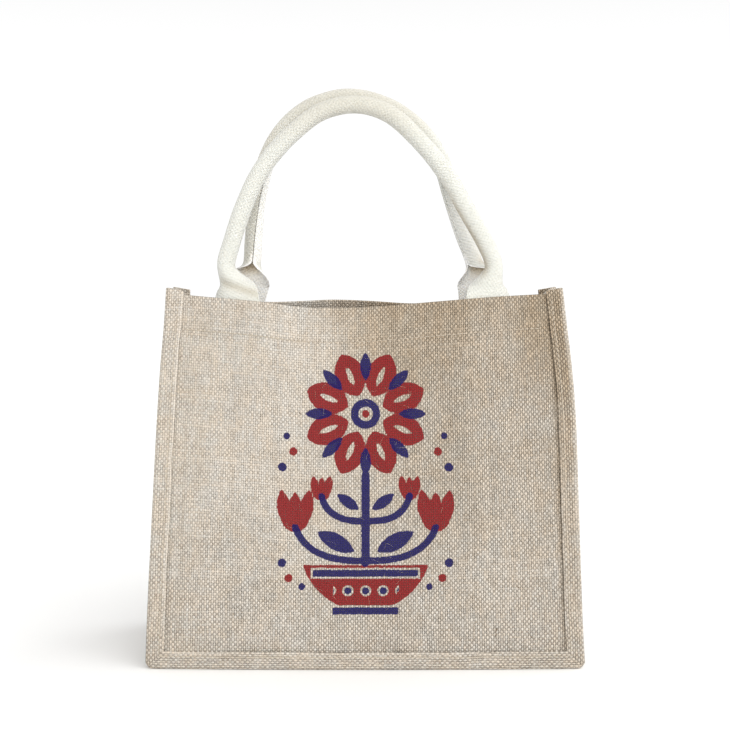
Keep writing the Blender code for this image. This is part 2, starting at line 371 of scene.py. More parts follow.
def link(name: str, mesh: Mesh, finish: Material) -> Object:
    """Puts a finished mesh in the scene as one smooth piece.

    Args:
        name: Name of the piece.
        mesh: Its mesh.
        finish: Its material.

    Returns:
        The new object.
    """
    mesh.shade_smooth()
    mesh.materials.append(finish)
    piece = bpy.data.objects.new(name, mesh)
    bpy.context.collection.objects.link(piece)
    LOG.info("%s: %d faces", name, len(mesh.polygons))
    return piece


def turned_out(points: Array, faces: Array) -> Array:
    """Turns the faces of a closed mesh round where they look inward.

    Args:
        points: All the points.
        faces: Rows of four point numbers.

    Returns:
        The same rows, or each of them reversed.
    """
    a, b, c, d = (points[faces[:, k]] for k in range(4))
    volume = np.sum(a * np.cross(b, c)) + np.sum(a * np.cross(c, d))
    return faces if volume > 0 else faces[:, ::-1]


@dataclass
class SheetMesh:
    """A closed sheet of cloth between two grids of points.

    Attributes:
        outer: Points of the outer side, by row and column.
        inner: Points of the inner side, by row and column.
        cloth: Place on the flat cloth in metres, by row and column.
        corner_cloth: The same for each face's four corners, where the cloth has a fold in its
            own plane, by row, column and corner.
        marks: Named numbers for each point of the outer side.
        inner_marks: The same for the inner side, where they differ.
        blunt: Square of the share of the thickness that is left at the very edge.
    """

    outer: Array
    inner: Array
    cloth: Array
    corner_cloth: Array | None = None
    marks: dict[str, Array] = field(default_factory=dict)
    inner_marks: dict[str, Array] = field(default_factory=dict)
    blunt: float = 0.004

    def round_edges(self, from_rows: Array, from_columns: Array) -> None:
        """Thins the sheet to a round edge where it ends.

        Args:
            from_rows: Distance of each point from the nearest end along the rows.
            from_columns: Distance of each point from the nearest end along the columns.
        """
        middle, half = (self.outer + self.inner) / 2, (self.outer - self.inner) / 2
        radius = np.linalg.norm(half, axis=-1)
        for distance in (from_rows, from_columns):
            inside = 1.0 - np.clip(distance / radius, 0.0, 1.0)
            half = half * np.sqrt(np.maximum(self.blunt, 1.0 - inside**2))[..., None]
        self.outer, self.inner = middle + half, middle - half

    def build(self, name: str, finish: Material) -> Object:
        """Makes the piece.

        Args:
            name: Name of the piece.
            finish: Its material.

        Returns:
            The new object.
        """
        rows, columns = self.outer.shape[:2]
        front = np.arange(rows * columns).reshape(rows, columns)
        back = front + rows * columns
        side = quads(front).reshape(-1, 4)
        walls = [side, side[:, ::-1] + rows * columns]
        for line, turn in ((np.s_[0], 1), (np.s_[-1], -1), (np.s_[:, 0], -1), (np.s_[:, -1], 1)):
            a, b = front[line], back[line]
            walls.append(np.stack([a[:-1], b[:-1], b[1:], a[1:]], -1)[:, ::turn])
        faces = np.concatenate(walls)
        points = np.concatenate([self.outer.reshape(-1, 3), self.inner.reshape(-1, 3)])
        turned = turned_out(points, faces)
        mesh = bpy.data.meshes.new(name)
        mesh.from_pydata(points.tolist(), [], turned.tolist())
        flat = np.concatenate([self.cloth.reshape(-1, 2)] * 2)
        corners = flat[faces]
        if self.corner_cloth is not None:
            places = self.corner_cloth.reshape(-1, 4, 2)
            corners[:len(side)] = places
            corners[len(side):2 * len(side)] = places[:, ::-1]
        if turned is not faces:
            corners = corners[:, ::-1]
        layer = mesh.uv_layers.new(name="cloth")
        layer.data.foreach_set("uv", corners.reshape(-1).astype(np.float32))
        for mark, values in self.marks.items():
            inner = self.inner_marks.get(mark, values)
            both = np.concatenate([values.reshape(-1), inner.reshape(-1)]).astype(np.float32)
            mesh.attributes.new(mark, "FLOAT", "POINT").data.foreach_set("value", both)
        return link(name, mesh, finish)


def tube_bundle(
    name: str, paths: Array, radii: Array, beside: Array, finish: Material, sides: int = 6,
) -> Object:
    """Makes many tubes with closed ends as one piece.

    Args:
        name: Name of the piece.
        paths: Points by tube and step.
        radii: Radius of each tube at each step.
        beside: A direction square to each tube.
        finish: Material of the piece.
        sides: Number of sides of a tube.

    Returns:
        The new object.
    """
    count, steps = paths.shape[:2]
    along = unit(np.gradient(paths, axis=1))
    side = unit(beside[:, None, :] - along * np.sum(beside[:, None, :] * along, -1)[..., None])
    other = np.cross(along, side)
    turn = math.tau * np.arange(sides) / sides
    rings = paths[:, :, None, :] + radii[:, :, None, None] * (
        side[:, :, None, :] * np.cos(turn)[:, None] + other[:, :, None, :] * np.sin(turn)[:, None])
    number = np.arange(count * steps * sides).reshape(count, steps, sides)
    walls = np.concatenate([ring_quads(tube) for tube in number])
    ends = [row[::-1].tolist() for row in number[:, 0]] + [row.tolist() for row in number[:, -1]]
    mesh = bpy.data.meshes.new(name)
    mesh.from_pydata(rings.reshape(-1, 3).tolist(), [], walls.tolist() + ends)
    return link(name, mesh, finish)


# ---- materials


class Wire:
    """A number inside a material. Sums and products of wires become Math nodes."""

    def __init__(self, board: "Board", socket: NodeSocket) -> None:
        """Keeps the node's output."""
        self.board = board
        self.socket = socket

    def __add__(self, other: Number) -> "Wire":
        """Sum."""
        return self.board.math("ADD", self, other)

    def __sub__(self, other: Number) -> "Wire":
        """Difference."""
        return self.board.math("SUBTRACT", self, other)

    def __rsub__(self, other: float) -> "Wire":
        """A number less this wire."""
        return self.board.math("SUBTRACT", other, self)

    def __mul__(self, other: Number) -> "Wire":
        """Product."""
        return self.board.math("MULTIPLY", self, other)

    def __truediv__(self, other: Number) -> "Wire":
        """Quotient."""
        return self.board.math("DIVIDE", self, other)

    __radd__ = __add__
    __rmul__ = __mul__

    def floor(self) -> "Wire":
        """The whole number below."""
        return self.board.math("FLOOR", self)

    def fraction(self) -> "Wire":
        """What is over the whole number below."""
        return self.board.math("FRACT", self)

    def root(self) -> "Wire":
        """Square root, 0 below 0."""
        return self.board.math("SQRT", self.at_least(0.0))

    def cosine(self) -> "Wire":
        """Cosine."""
        return self.board.math("COSINE", self)

    def size(self) -> "Wire":
        """The number without its sign."""
        return self.board.math("ABSOLUTE", self)

    def at_least(self, other: Number) -> "Wire":
        """The larger of two."""
        return self.board.math("MAXIMUM", self, other)

    def over(self, other: Number) -> "Wire":
        """1 where this wire is the larger, otherwise 0."""
        return self.board.math("GREATER_THAN", self, other)

    def odd(self) -> "Wire":
        """1 where a whole number is odd, otherwise 0."""
        return self.board.math("FLOORED_MODULO", self, 2.0)

    def between(self, low: float, high: float, start: float = 0.0, end: float = 1.0) -> "Wire":
        """Goes smoothly from start to end as the wire goes from low to high.

        Args:
            low: Where it starts.
            high: Where it ends.
            start: Number at low.
            end: Number at high.

        Returns:
            The new wire.
        """
        node = self.board.add("ShaderNodeMapRange", {"interpolation_type": "SMOOTHSTEP"}, {
            "Value": self, "From Min": low, "From Max": high, "To Min": start, "To Max": end})
        return Wire(self.board, node.outputs["Result"])


class Board:
    """The nodes of one material."""

    specular = 0.14
    sheen_roughness = 0.55
    noise_roughness = 0.55
    noise_reach = 1.8

    def __init__(self, name: str) -> None:
        """Starts a material with its shader.

        Args:
            name: Name of the material.
        """
        self.material = bpy.data.materials.new(name)
        self.material.use_nodes = True
        self.tree = self.material.node_tree
        self.shader = self.tree.nodes["Principled BSDF"]

    def add(self, kind: str, settings: dict, inputs: dict) -> Node:
        """Adds a node.

        Args:
            kind: Blender's name of the node.
            settings: Its properties.
            inputs: Numbers, colours, sockets or wires, by the input's name or number.

        Returns:
            The node.
        """
        node = self.tree.nodes.new(kind)
        for key, value in settings.items():
            setattr(node, key, value)
        for key, value in inputs.items():
            self.plug(node.inputs[key], value)
        return node

    def plug(self, socket: NodeSocket, value: object) -> None:
        """Joins a wire or socket to an input, or sets its number.

        Args:
            socket: The input.
            value: Wire, socket, number or colour.
        """
        if isinstance(value, Wire):
            self.tree.links.new(value.socket, socket)
        elif isinstance(value, NodeSocket):
            self.tree.links.new(value, socket)
        else:
            socket.default_value = value

    def math(self, operation: str, *values: Number) -> Wire:
        """Adds a Math node."""
        node = self.add("ShaderNodeMath", {"operation": operation}, dict(enumerate(values)))
        return Wire(self, node.outputs[0])

    def cloth_place(self) -> tuple[Wire, Wire]:
        """Finds the place on the flat cloth.

        Returns:
            Across and along, in metres.
        """
        node = self.add("ShaderNodeUVMap", {"uv_map": "cloth"}, {})
        parts = self.add("ShaderNodeSeparateXYZ", {}, {0: node.outputs["UV"]})
        return Wire(self, parts.outputs["X"]), Wire(self, parts.outputs["Y"])

    def object_place(self) -> tuple[Wire, ...]:
        """Finds the place on the piece.

        Returns:
            x, y and z in metres.
        """
        place = self.add("ShaderNodeTexCoord", {}, {}).outputs["Object"]
        parts = self.add("ShaderNodeSeparateXYZ", {}, {0: place})
        return tuple(Wire(self, socket) for socket in parts.outputs)

    def mark(self, name: str) -> Wire:
        """A number that the mesh keeps for each of its points."""
        node = self.add("ShaderNodeAttribute", {"attribute_name": name}, {})
        return Wire(self, node.outputs["Fac"])

    def vector(self, x: Number, y: Number, z: Number = 0.0) -> NodeSocket:
        """Three numbers as one."""
        return self.add("ShaderNodeCombineXYZ", {}, {0: x, 1: y, 2: z}).outputs[0]

    def noise(self, x: Number, y: Number, z: Number = 0.0, detail: float = 1.0) -> Wire:
        """Smooth random number about 0, mostly within 0.5, with one wave to a unit.

        Args:
            x: First place.
            y: Second place.
            z: Third place, or a number that picks another pattern.
            detail: Finer waves in it.

        Returns:
            The number.
        """
        node = self.add("ShaderNodeTexNoise", {"noise_dimensions": "3D"}, {
            "Vector": self.vector(x, y, z), "Scale": 1.0, "Detail": detail,
            "Roughness": self.noise_roughness})
        return (Wire(self, node.outputs[0]) - 0.5) * self.noise_reach

    def dice(self, x: Number, y: Number = 0.0) -> Wire:
        """Random number from 0 to 1 for each pair of whole numbers.

        Args:
            x: First whole number.
            y: Second whole number.

        Returns:
            The number.
        """
        node = self.add("ShaderNodeTexWhiteNoise", {"noise_dimensions": "2D"},
                        {"Vector": self.vector(x, y)})
        return Wire(self, node.outputs["Value"])

    def blend(self, share: Number, a: object, b: object, how: str = "MIX") -> NodeSocket:
        """Mixes two colours.

        Args:
            share: Share of the second colour.
            a: First colour or socket.
            b: Second colour or socket.
            how: Blender's name for the way they mix.

        Returns:
            The mixed colour's socket.
        """
        tones = [(*c, 1.0) if isinstance(c, tuple) else c for c in (a, b)]
        node = self.add("ShaderNodeMix", {"data_type": "RGBA", "blend_type": how},
                        {0: share, 6: tones[0], 7: tones[1]})
        return node.outputs[2]

    def grey(self, value: Wire) -> NodeSocket:
        """A colour with the same number in each part."""
        node = self.add("ShaderNodeCombineColor", {}, {0: value, 1: value, 2: value})
        return node.outputs[0]

    def dress(
        self, colour: object, roughness: Number, height: Wire, relief: float, sheen: float,
    ) -> Material:
        """Joins the finished colour and relief to the shader.

        Args:
            colour: Colour or socket.
            roughness: Number or wire.
            height: Relief in its own units.
            relief: Metres to a unit of height.
            sheen: Weight of the soft shine of loose fibres.

        Returns:
            The material.
        """
        self.plug(self.shader.inputs["Base Color"], colour)
        self.plug(self.shader.inputs["Roughness"], roughness)
        self.shader.inputs["Specular IOR Level"].default_value = self.specular
        self.shader.inputs["Sheen Weight"].default_value = sheen
        self.shader.inputs["Sheen Roughness"].default_value = self.sheen_roughness
        bump = self.add("ShaderNodeBump", {}, {
            "Strength": 1.0, "Distance": relief, "Height": height})
        self.plug(self.shader.inputs["Normal"], bump.outputs["Normal"])
        return self.material


@dataclass
class Weave:
    """A plain weave drawn in nodes: warps run along the cloth and wefts across it. In each noise
    the numbers are waves to a thread, and then the number that picks the pattern.

    Attributes:
        board: The material's nodes.
        x: Place across the cloth, one warp to a unit.
        y: Place along the cloth, one weft to a unit.
        width: Half the usual width of a thread.
        uneven: How much the threads differ in width and place.
        fuller: How much wider half a warp is, and how much narrower half a weft.
        sway: How far whole rows of threads swing aside.
        wander: How far one thread wanders between its neighbours.
        swell: How much one thread changes in width.
        drift: How much one thread changes in tone along its length.
        swing: How high a thread rises over the one it crosses.
        barrel: How round a thread is.
        fall: How steeply the height falls off past a thread's edge.
    """

    board: Board
    x: Wire
    y: Wire
    width: Number = 0.39
    uneven: float = 1.0
    fuller: Pair = (0.05, 0.02)
    sway: float = 0.55
    wander: float = 0.16
    swell: float = 0.20
    drift: float = 0.7
    swing: float = 0.5
    barrel: float = 0.7
    fall: float = 5.0

    def __post_init__(self) -> None:
        """Works out height, tone and which thread is on top."""
        board = self.board
        sway, wander = self.sway * self.uneven, self.wander * self.uneven
        swell = self.swell * self.uneven
        bend = board.noise(self.x * 0.07, self.y * 0.06, 3.7)
        lean = board.noise(self.x * 0.06, self.y * 0.07, 9.1)
        x = self.x + bend * sway
        y = self.y + lean * sway
        column, row = x.floor(), y.floor()
        self.column, self.row = column, row
        in_x, in_y = x.fraction() - 0.5, y.fraction() - 0.5
        sign = 1.0 - (column + row).odd() * 2.0
        warp_wander = board.noise(column * 5.3, y * 0.30) * wander
        weft_wander = board.noise(x * 0.30, row * 5.3, 4.0) * wander
        warp_half = self.width + self.fuller[0] + board.noise(column * 3.1, y * 0.22, 7.0) * swell
        weft_half = self.width - self.fuller[1] + board.noise(x * 0.22, row * 3.1, 11.0) * swell
        warp = self.thread((in_x - warp_wander).size() / warp_half, in_y, sign)
        weft = self.thread((in_y - weft_wander).size() / weft_half, in_x, sign * -1.0)
        self.warp_on_top = warp.over(weft)
        self.height = warp.at_least(weft).at_least(-1.0)
        warp_fibre = board.noise(x * 8.0, y * 1.1, column, detail=2.0)
        weft_fibre = board.noise(x * 1.1, y * 8.0, row, detail=2.0)
        self.fibre = self.pick(warp_fibre, weft_fibre)
        warp_tone = board.dice(column, 3.0) + board.noise(column * 2.3, y * 0.09, 21.0) * self.drift
        weft_tone = board.dice(row, 8.0) + board.noise(x * 0.09, row * 2.3, 23.0) * self.drift
        self.tone = self.pick(warp_tone, weft_tone)
        self.hue = self.pick(
            board.noise(column * 1.7, y * 0.13, 31.0), board.noise(x * 0.13, row * 1.7, 33.0))

    def thread(self, aside: Wire, along: Wire, sign: Wire) -> Wire:
        """Height of one set of threads.

        Args:
            aside: Distance from the thread's middle, 1 at its edge.
            along: Place along it in a cell, 0 at the crossing.
            sign: 1 where it passes over, -1 where it passes under.

        Returns:
            Height, falling off steeply past the thread's edge.
        """
        swing = (along * math.pi).cosine() * sign
        barrel = (1.0 - aside * aside).root()
        return swing * self.swing + barrel * self.barrel - (aside - 1.0).at_least(0.0) * self.fall

    def pick(self, warp: Wire, weft: Wire) -> Wire:
        """The warp's number where the warp is on top, otherwise the weft's."""
        return weft + (warp - weft) * self.warp_on_top


@dataclass(frozen=True)
class BurlapFinish:
    """Coarse plain-woven jute, with print where it has any.

    Attributes:
        name: Name of the material.
        pitch: Width of a warp and of a weft with its gap, in metres.
        width: Half the width of a thread, and how much less it is where the weave is opener.
        pale: Colour of the palest threads.
        tan: Colour of the darkest threads.
        brown_and_shade_tint: Colour that the browner places lean to; partly jute tone, partly
            painted shade.
        rust: Cast of the warmer threads.
        ash: Cast of the cooler threads.
        red: Red ink.
        navy: Navy ink.
        printed: Whether the cloth carries the print.
        by_thread: How much a thread's own tone counts.
        by_blotch: How much wide blotches count.
        by_fibre: How much the fibres in a thread count.
        by_cell: How much each crossing counts, and how much more where the weave is opener.
        by_warp: How much paler the warps are, and how much more where the weave is opener.
        by_height_shade: Painted highlight on the threads' tops and painted shade between them.
        by_wear_and_highlight: How much paler the rubbed places are, with a painted highlight on
            fold edges.
        by_openness_and_shade: How much darker the cloth is where its openness mark is high; painted
            shade.
        hole_shade: Painted shade in the holes, and how much more where the weave is opener.
        relief: Height of the weave.
    """

    name: str
    pitch: Pair = (2.1 * MM, 2.27 * MM)
    width: Pair = (0.40, 0.045)
    pale: Colour = (0.650, 0.602, 0.537)
    tan: Colour = (0.302, 0.271, 0.231)
    brown_and_shade_tint: Colour = (0.75, 0.667, 0.56)
    rust: Colour = (1.0, 0.945, 0.88)
    ash: Colour = (0.96, 0.98, 1.0)
    red: Colour = (0.215, 0.010, 0.012)
    navy: Colour = (0.010, 0.008, 0.088)
    printed: bool = False
    by_thread: float = 0.26
    by_blotch: float = 0.18
    by_fibre: float = 0.42
    by_cell: Pair = (0.32, 0.20)
    by_warp: Pair = (0.34, 0.42)
    by_height_shade: float = 0.30
    by_wear_and_highlight: float = 0.6
    by_openness_and_shade: float = 0.26
    hole_shade: Pair = (0.55, 0.34)
    relief: float = 0.75 * MM

    def make(self) -> Material:
        """Builds the material.

        Returns:
            The material.
        """
        board = Board(self.name)
        u, v = board.cloth_place()
        openness_and_shade = board.mark("open")
        weave = Weave(board, u * (1.0 / self.pitch[0]), v * (1.0 / self.pitch[1]),
                      width=self.width[0] - openness_and_shade * self.width[1])
        blotch = board.noise(u * 14.0, v * 11.0, 2.0, detail=2.0)
        cell = board.dice(weave.column, weave.row)
        tone = (weave.tone - 0.5) * self.by_thread + blotch * self.by_blotch
        tone = tone + weave.fibre * self.by_fibre
        tone = tone + (cell - 0.5) * (self.by_cell[0] + openness_and_shade * self.by_cell[1])
        tone = tone + (weave.warp_on_top - 0.5) * (self.by_warp[0] + openness_and_shade * self.by_warp[1])
        # Painted highlight on the threads' tops, painted shade lower down.
        tone = tone + (weave.height - 0.4) * self.by_height_shade
        # Darker where the openness mark paints shade; paler by the wear mark, which is partly a
        # painted highlight.
        tone = tone + board.mark("wear_and_highlight") * self.by_wear_and_highlight - openness_and_shade * self.by_openness_and_shade
        colour = board.blend(tone.between(-0.75, 0.75), self.tan, self.pale)
        hue = weave.hue + board.noise(u * 60.0, v * 45.0, 8.0) * 0.8
        cast = board.blend(hue.between(-0.6, 0.6), self.ash, self.rust)
        colour = board.blend(1.0, colour, cast, "MULTIPLY")
        # Browner by its mark: partly the jute's own tone, partly painted shade.
        colour = board.blend(board.mark("brown_and_shade"), colour, self.brown_and_shade_tint, "MULTIPLY")
        if self.printed:
            colour = self.ink(board, weave, colour)
        # Painted shade in the holes and low places of the weave.
        depth = weave.height.between(-0.70, 0.95, 0.66, 0.0)
        shade = depth * (self.hole_shade[0] + openness_and_shade * self.hole_shade[1])
        colour = board.blend(1.0, colour, board.grey(1.0 - shade), "MULTIPLY")
        height = weave.height + weave.fibre * 0.16
        return board.dress(colour, 0.9, height, self.relief, sheen=0.04)

    def ink(self, board: Board, weave: Weave, cloth: object) -> NodeSocket:
        """Lays both inks on the tops of the threads.

        Args:
            board: The material's nodes.
            weave: The weave under the ink.
            cloth: The cloth's own colour.

        Returns:
            The colour with the ink on it.
        """
        ragged = (board.dice(weave.column, weave.row) - 0.5) * 0.6 + weave.fibre * 0.4
        takes = weave.height.between(-0.35, 0.15) * weave.fibre.between(-0.75, -0.35, 0.35, 1.0)
        colour = cloth
        for name, ink in (("red", self.red), ("navy", self.navy)):
            inside = (board.mark(name) + ragged).between(-0.35, 0.35)
            colour = board.blend(inside * takes * 0.97, colour, ink)
        return colour


@dataclass(frozen=True)
class WebbingFinish:
    """Smooth bleached cotton webbing with a fine diagonal weave.

    Attributes:
        name: Name of the material.
        pitch: Width of a thread with its gap, in metres.
        width: Half the width of a thread, as a share of the pitch.
        uneven: How uneven its threads are, where burlap is 1.
        pale: Colour of the tops of the threads.
        grey: Colour of the darkest threads and of the painted shade between them.
        fold: Brownish tint of the painted shade, and of the darker arch top.
        painted_light: Colour of the painted light on the back handle.
        by_thread: How much a thread's own tone counts.
        by_blotch: How much wide blotches count.
        by_height_shade: Painted highlight on the threads' tops and painted shade between them.
        glow: Share of the light that goes into the cotton.
        glow_depth: How far it goes.
        glow_tint: How far each colour of it goes, as a share.
        relief: Height of the weave.
    """

    name: str
    pitch: float = 2.6 * MM
    pale: Colour = (0.615, 0.615, 0.57)
    grey: Colour = (0.33, 0.31, 0.255)
    fold: Colour = (0.66, 0.56, 0.43)
    painted_light: Colour = (0.99, 0.965, 0.92)
    width: float = 0.47
    uneven: float = 0.35
    by_thread: float = 0.20
    by_blotch: float = 0.26
    by_height_shade: float = 0.70
    glow: float = 0.6
    glow_depth: float = 4.0 * MM
    glow_tint: Colour = (1.0, 0.95, 0.88)
    relief: float = 0.62 * MM

    def make(self) -> Material:
        """Builds the material.

        Returns:
            The material.
        """
        board = Board(self.name)
        u, v = board.cloth_place()
        diagonal = 0.7 / self.pitch
        weave = Weave(
            board, (u + v) * diagonal, (u - v) * diagonal, width=self.width, uneven=self.uneven)
        blotch = board.noise(u * 30.0, v * 18.0, 5.0, detail=2.0)
        tone = (weave.tone - 0.5) * self.by_thread + blotch * self.by_blotch
        # Painted highlight on the threads' tops, painted shade between them.
        tone = tone + weave.height * self.by_height_shade
        colour = board.blend(tone.between(-0.6, 0.5), self.grey, self.pale)
        # Painted light from its mark.
        colour = board.blend(board.mark("painted_light"), colour, self.painted_light)
        # Painted shade, a brownish multiply by the fold mark.
        colour = board.blend(board.mark("fold"), colour, self.fold, "MULTIPLY")
        board.shader.inputs["Subsurface Weight"].default_value = self.glow
        board.shader.inputs["Subsurface Radius"].default_value = self.glow_tint
        board.shader.inputs["Subsurface Scale"].default_value = self.glow_depth
        height = weave.height + weave.fibre * 0.1
        return board.dress(colour, 0.78, height, self.relief, sheen=0.12)


@dataclass(frozen=True)
class CordFinish:
    """Twisted filler cord, greyer than the webbing round it."""

    name: str
    pale: Colour = (0.74, 0.69, 0.60)
    dark: Colour = (0.52, 0.47, 0.39)

    def make(self) -> Material:
        """Builds the material.

        Returns:
            The material.
        """
        board = Board(self.name)
        u, v = board.cloth_place()
        strands = board.noise((u + v * 0.5) * 900.0, v * 60.0, 1.0, detail=2.0)
        colour = board.blend(strands.between(-0.5, 0.5), self.dark, self.pale)
        return board.dress(colour, 0.9, strands, 0.3 * MM, sheen=0.1)


@dataclass(frozen=True)
class ThreadFinish:
    """Sewing thread or a loose fibre, with a fine twist."""

    name: str
    pale: Colour
    dark: Colour

    def make(self) -> Material:
        """Builds the material.

        Returns:
            The material.
        """
        board = Board(self.name)
        x, y, z = board.object_place()
        streak = board.noise(x * 700.0, y * 700.0, z * 1500.0, detail=2.0)
        colour = board.blend(streak.between(-0.5, 0.5), self.dark, self.pale)
        return board.dress(colour, 0.85, streak, 0.15 * MM, sheen=0.1)


@dataclass(frozen=True)
class FloorFinish:
    """Plain pale studio paper."""

    name: str
    pale: Colour = (0.95, 0.95, 0.945)
    palest: Colour = (0.965, 0.965, 0.96)

    def make(self) -> Material:
        """Builds the material.

        Returns:
            The material.
        """
        board = Board(self.name)
        x, y, _ = board.object_place()
        grain = board.noise(x * 400.0, y * 400.0, 0.0, detail=2.0)
        colour = board.blend(grain.between(-0.6, 0.6), self.pale, self.palest)
        return board.dress(colour, 0.95, grain, 0.05 * MM, sheen=0.0)


# ---- the print


@dataclass(frozen=True)
class BloomPrint:
    """A plain folk bouquet in two inks, about 165 mm wide and 240 mm high.

    Each ink is a signed distance in millimetres, above 0 inside the ink. What stands in pairs is
    drawn on the right, at places measured from the middle.

    Attributes:
        middle: Place of its middle across the panel.
        high: Height of the bloom's middle.
        petals: Number of petals.
        petal: Where a petal starts and ends from the bloom's middle, and half its width.
        vein: The same for the bare slit in a petal.
        sepal: The same for the leaf between two petals.
        heart: Radius of the bloom's heart, of its bare ring and of the dot in that.
        stem: Half the width of the upright stem and of the branches.
        branches: Foot, bend and tip of each branch.
        leaves: Root, tip and half width of each leaf.
        tulips: Foot and scale of each tulip.
        navy_seeds: Place and radius of each navy dot.
        red_seeds: The same for the red ones.
    """

    middle: float = 0.5
    high: float = 232.0
    petals: int = 8
    petal: Triple = (17.0, 58.0, 13.5)
    vein: Triple = (27.0, 46.0, 2.6)
    sepal: Triple = (30.0, 56.0, 5.0)
    heart: Triple = (13.5, 6.5, 3.6)
    stem: Pair = (3.8, 3.1)
    branches: tuple[tuple[Point, Point, Point], ...] = (
        ((0, 100), (52, 98), (64, 130)), ((0, 136), (34, 134), (40, 158)))
    leaves: tuple[tuple[Point, Point, float], ...] = (
        ((10, 108), (44, 126), 7.5), ((6, 146), (26, 160), 5.0))
    tulips: tuple[tuple[Point, float], ...] = (((64, 126), 1.0), ((40, 154), 0.6))
    navy_seeds: tuple[tuple[Point, float], ...] = (
        ((76, 184), 4.0), ((72, 212), 3.2), ((76, 98), 4.0), ((58, 76), 3.2))
    red_seeds: tuple[tuple[Point, float], ...] = (((66, 198), 3.8), ((70, 84), 3.8))

    @staticmethod
    def disc(x: Array, z: Array, at: Point, radius: float) -> Array:
        """A filled circle."""
        return radius - np.hypot(x - at[0], z - at[1])

    @staticmethod
    def leaf(x: Array, z: Array, root: Point, tip: Point, width: float) -> Array:
        """A pointed leaf from root to tip, between two arcs.

        Args:
            x: Places across.
            z: Places up.
            root: One point.
            tip: The other point.
            width: Half the leaf's width.

        Returns:
            Signed distance at each place.
        """
        ahead = np.array(tip) - np.array(root)
        length = float(np.hypot(*ahead))
        ahead = ahead / length
        radius = (length**2 / 4 + width**2) / (2 * width)
        along = (x - root[0]) * ahead[0] + (z - root[1]) * ahead[1] - length / 2
        aside = (z - root[1]) * ahead[0] - (x - root[0]) * ahead[1]
        return radius - np.hypot(along, np.abs(aside) + radius - width)

    @staticmethod
    def stroke(x: Array, z: Array, points: list[Point], width: float) -> Array:
        """A brush stroke of even width along a line of points.

        Args:
            x: Places across.
            z: Places up.
            points: The line.
            width: Half the stroke's width.

        Returns:
            Signed distance at each place.
        """
        near = np.full(x.shape, 1e3)
        for a, b in zip(points, points[1:]):
            run = np.array(b) - np.array(a)
            part = ((x - a[0]) * run[0] + (z - a[1]) * run[1]) / max(1e-9, float(run @ run))
            part = np.clip(part, 0.0, 1.0)
            near = np.minimum(near, np.hypot(x - a[0] - part * run[0], z - a[1] - part * run[1]))
        return width - near

    @staticmethod
    def bend(start: Point, over: Point, end: Point, steps: int = 12) -> list[Point]:
        """Draws a curve from start to end that leans towards over.

        Args:
            start: First point.
            over: Point that it leans towards.
            end: Last point.
            steps: Number of steps on it.

        Returns:
            Points on the curve.
        """
        places = [step / steps for step in range(steps + 1)]
        return [
            tuple((1 - t) ** 2 * s + 2 * t * (1 - t) * o + t * t * e
                  for s, o, e in zip(start, over, end))
            for t in places
        ]

    def ray_leaf(
        self, x: Array, z: Array, turn: float, shape: Triple,
    ) -> Array:
        """A leaf that points away from the bloom's middle.

        Args:
            x: Places across.
            z: Places up.
            turn: Its angle round the bloom, from the top.
            shape: Where it starts and ends from the bloom's middle, and half its width.

        Returns:
            Signed distance at each place.
        """
        across, up = math.sin(turn), math.cos(turn)
        root, tip = ((reach * across, self.high + reach * up) for reach in shape[:2])
        return self.leaf(x, z, root, tip, shape[2])

    def bloom(self, x: Array, z: Array) -> Inks:
        """The petals, the leaves between them and the heart.

        Args:
            x: Places across.
            z: Places up.

        Returns:
            Shapes in red and in navy.
        """
        red, navy = [], []
        for number in range(self.petals):
            turn = math.tau * (number + 0.5) / self.petals
            petal = self.ray_leaf(x, z, turn, self.petal)
            red.append(np.minimum(petal, -self.ray_leaf(x, z, turn, self.vein)))
            navy.append(self.ray_leaf(x, z, math.tau * number / self.petals, self.sepal))
        heart, ring, dot = (self.disc(x, z, (0, self.high), radius) for radius in self.heart)
        return red + [dot], navy + [np.minimum(heart, -ring)]

    def tulip(self, x: Array, z: Array, foot: Point, scale: float) -> list[Array]:
        """A tulip of three petals.

        Args:
            x: Places across.
            z: Places up.
            foot: Where it stands.
            scale: Its size.

        Returns:
            Signed distance of its cup and of each petal.
        """
        def at(across: float, up: float) -> Point:
            """A point of the tulip, from its foot."""
            return foot[0] + across * scale, foot[1] + up * scale

        cup = self.disc(x, z, at(0, 13), 13.0 * scale)
        cup = np.minimum(cup, at(0, 17)[1] - z)
        return [
            cup,
            self.leaf(x, z, at(-7, 4), at(-13, 38), 6.5 * scale),
            self.leaf(x, z, at(7, 4), at(13, 38), 6.5 * scale),
            self.leaf(x, z, at(0, 12), at(0, 36), 5.0 * scale),
        ]

    def stems(self, x: Array, z: Array) -> Inks:
        """The stem, its branches and leaves, the tulips and the seeds round them.

        Args:
            x: Places across.
            z: Places up.

        Returns:
            Shapes in red and in navy.
        """
        ax = np.abs(x)
        navy = [self.stroke(x, z, [(0, 98), (0, 176)], self.stem[0])]
        navy += [self.stroke(ax, z, self.bend(*branch), self.stem[1]) for branch in self.branches]
        navy += [self.leaf(ax, z, *leaf) for leaf in self.leaves]
        navy += [self.disc(ax, z, *seed) for seed in self.navy_seeds]
        red = [petal for tulip in self.tulips for petal in self.tulip(ax, z, *tulip)]
        return red + [self.disc(ax, z, *seed) for seed in self.red_seeds], navy

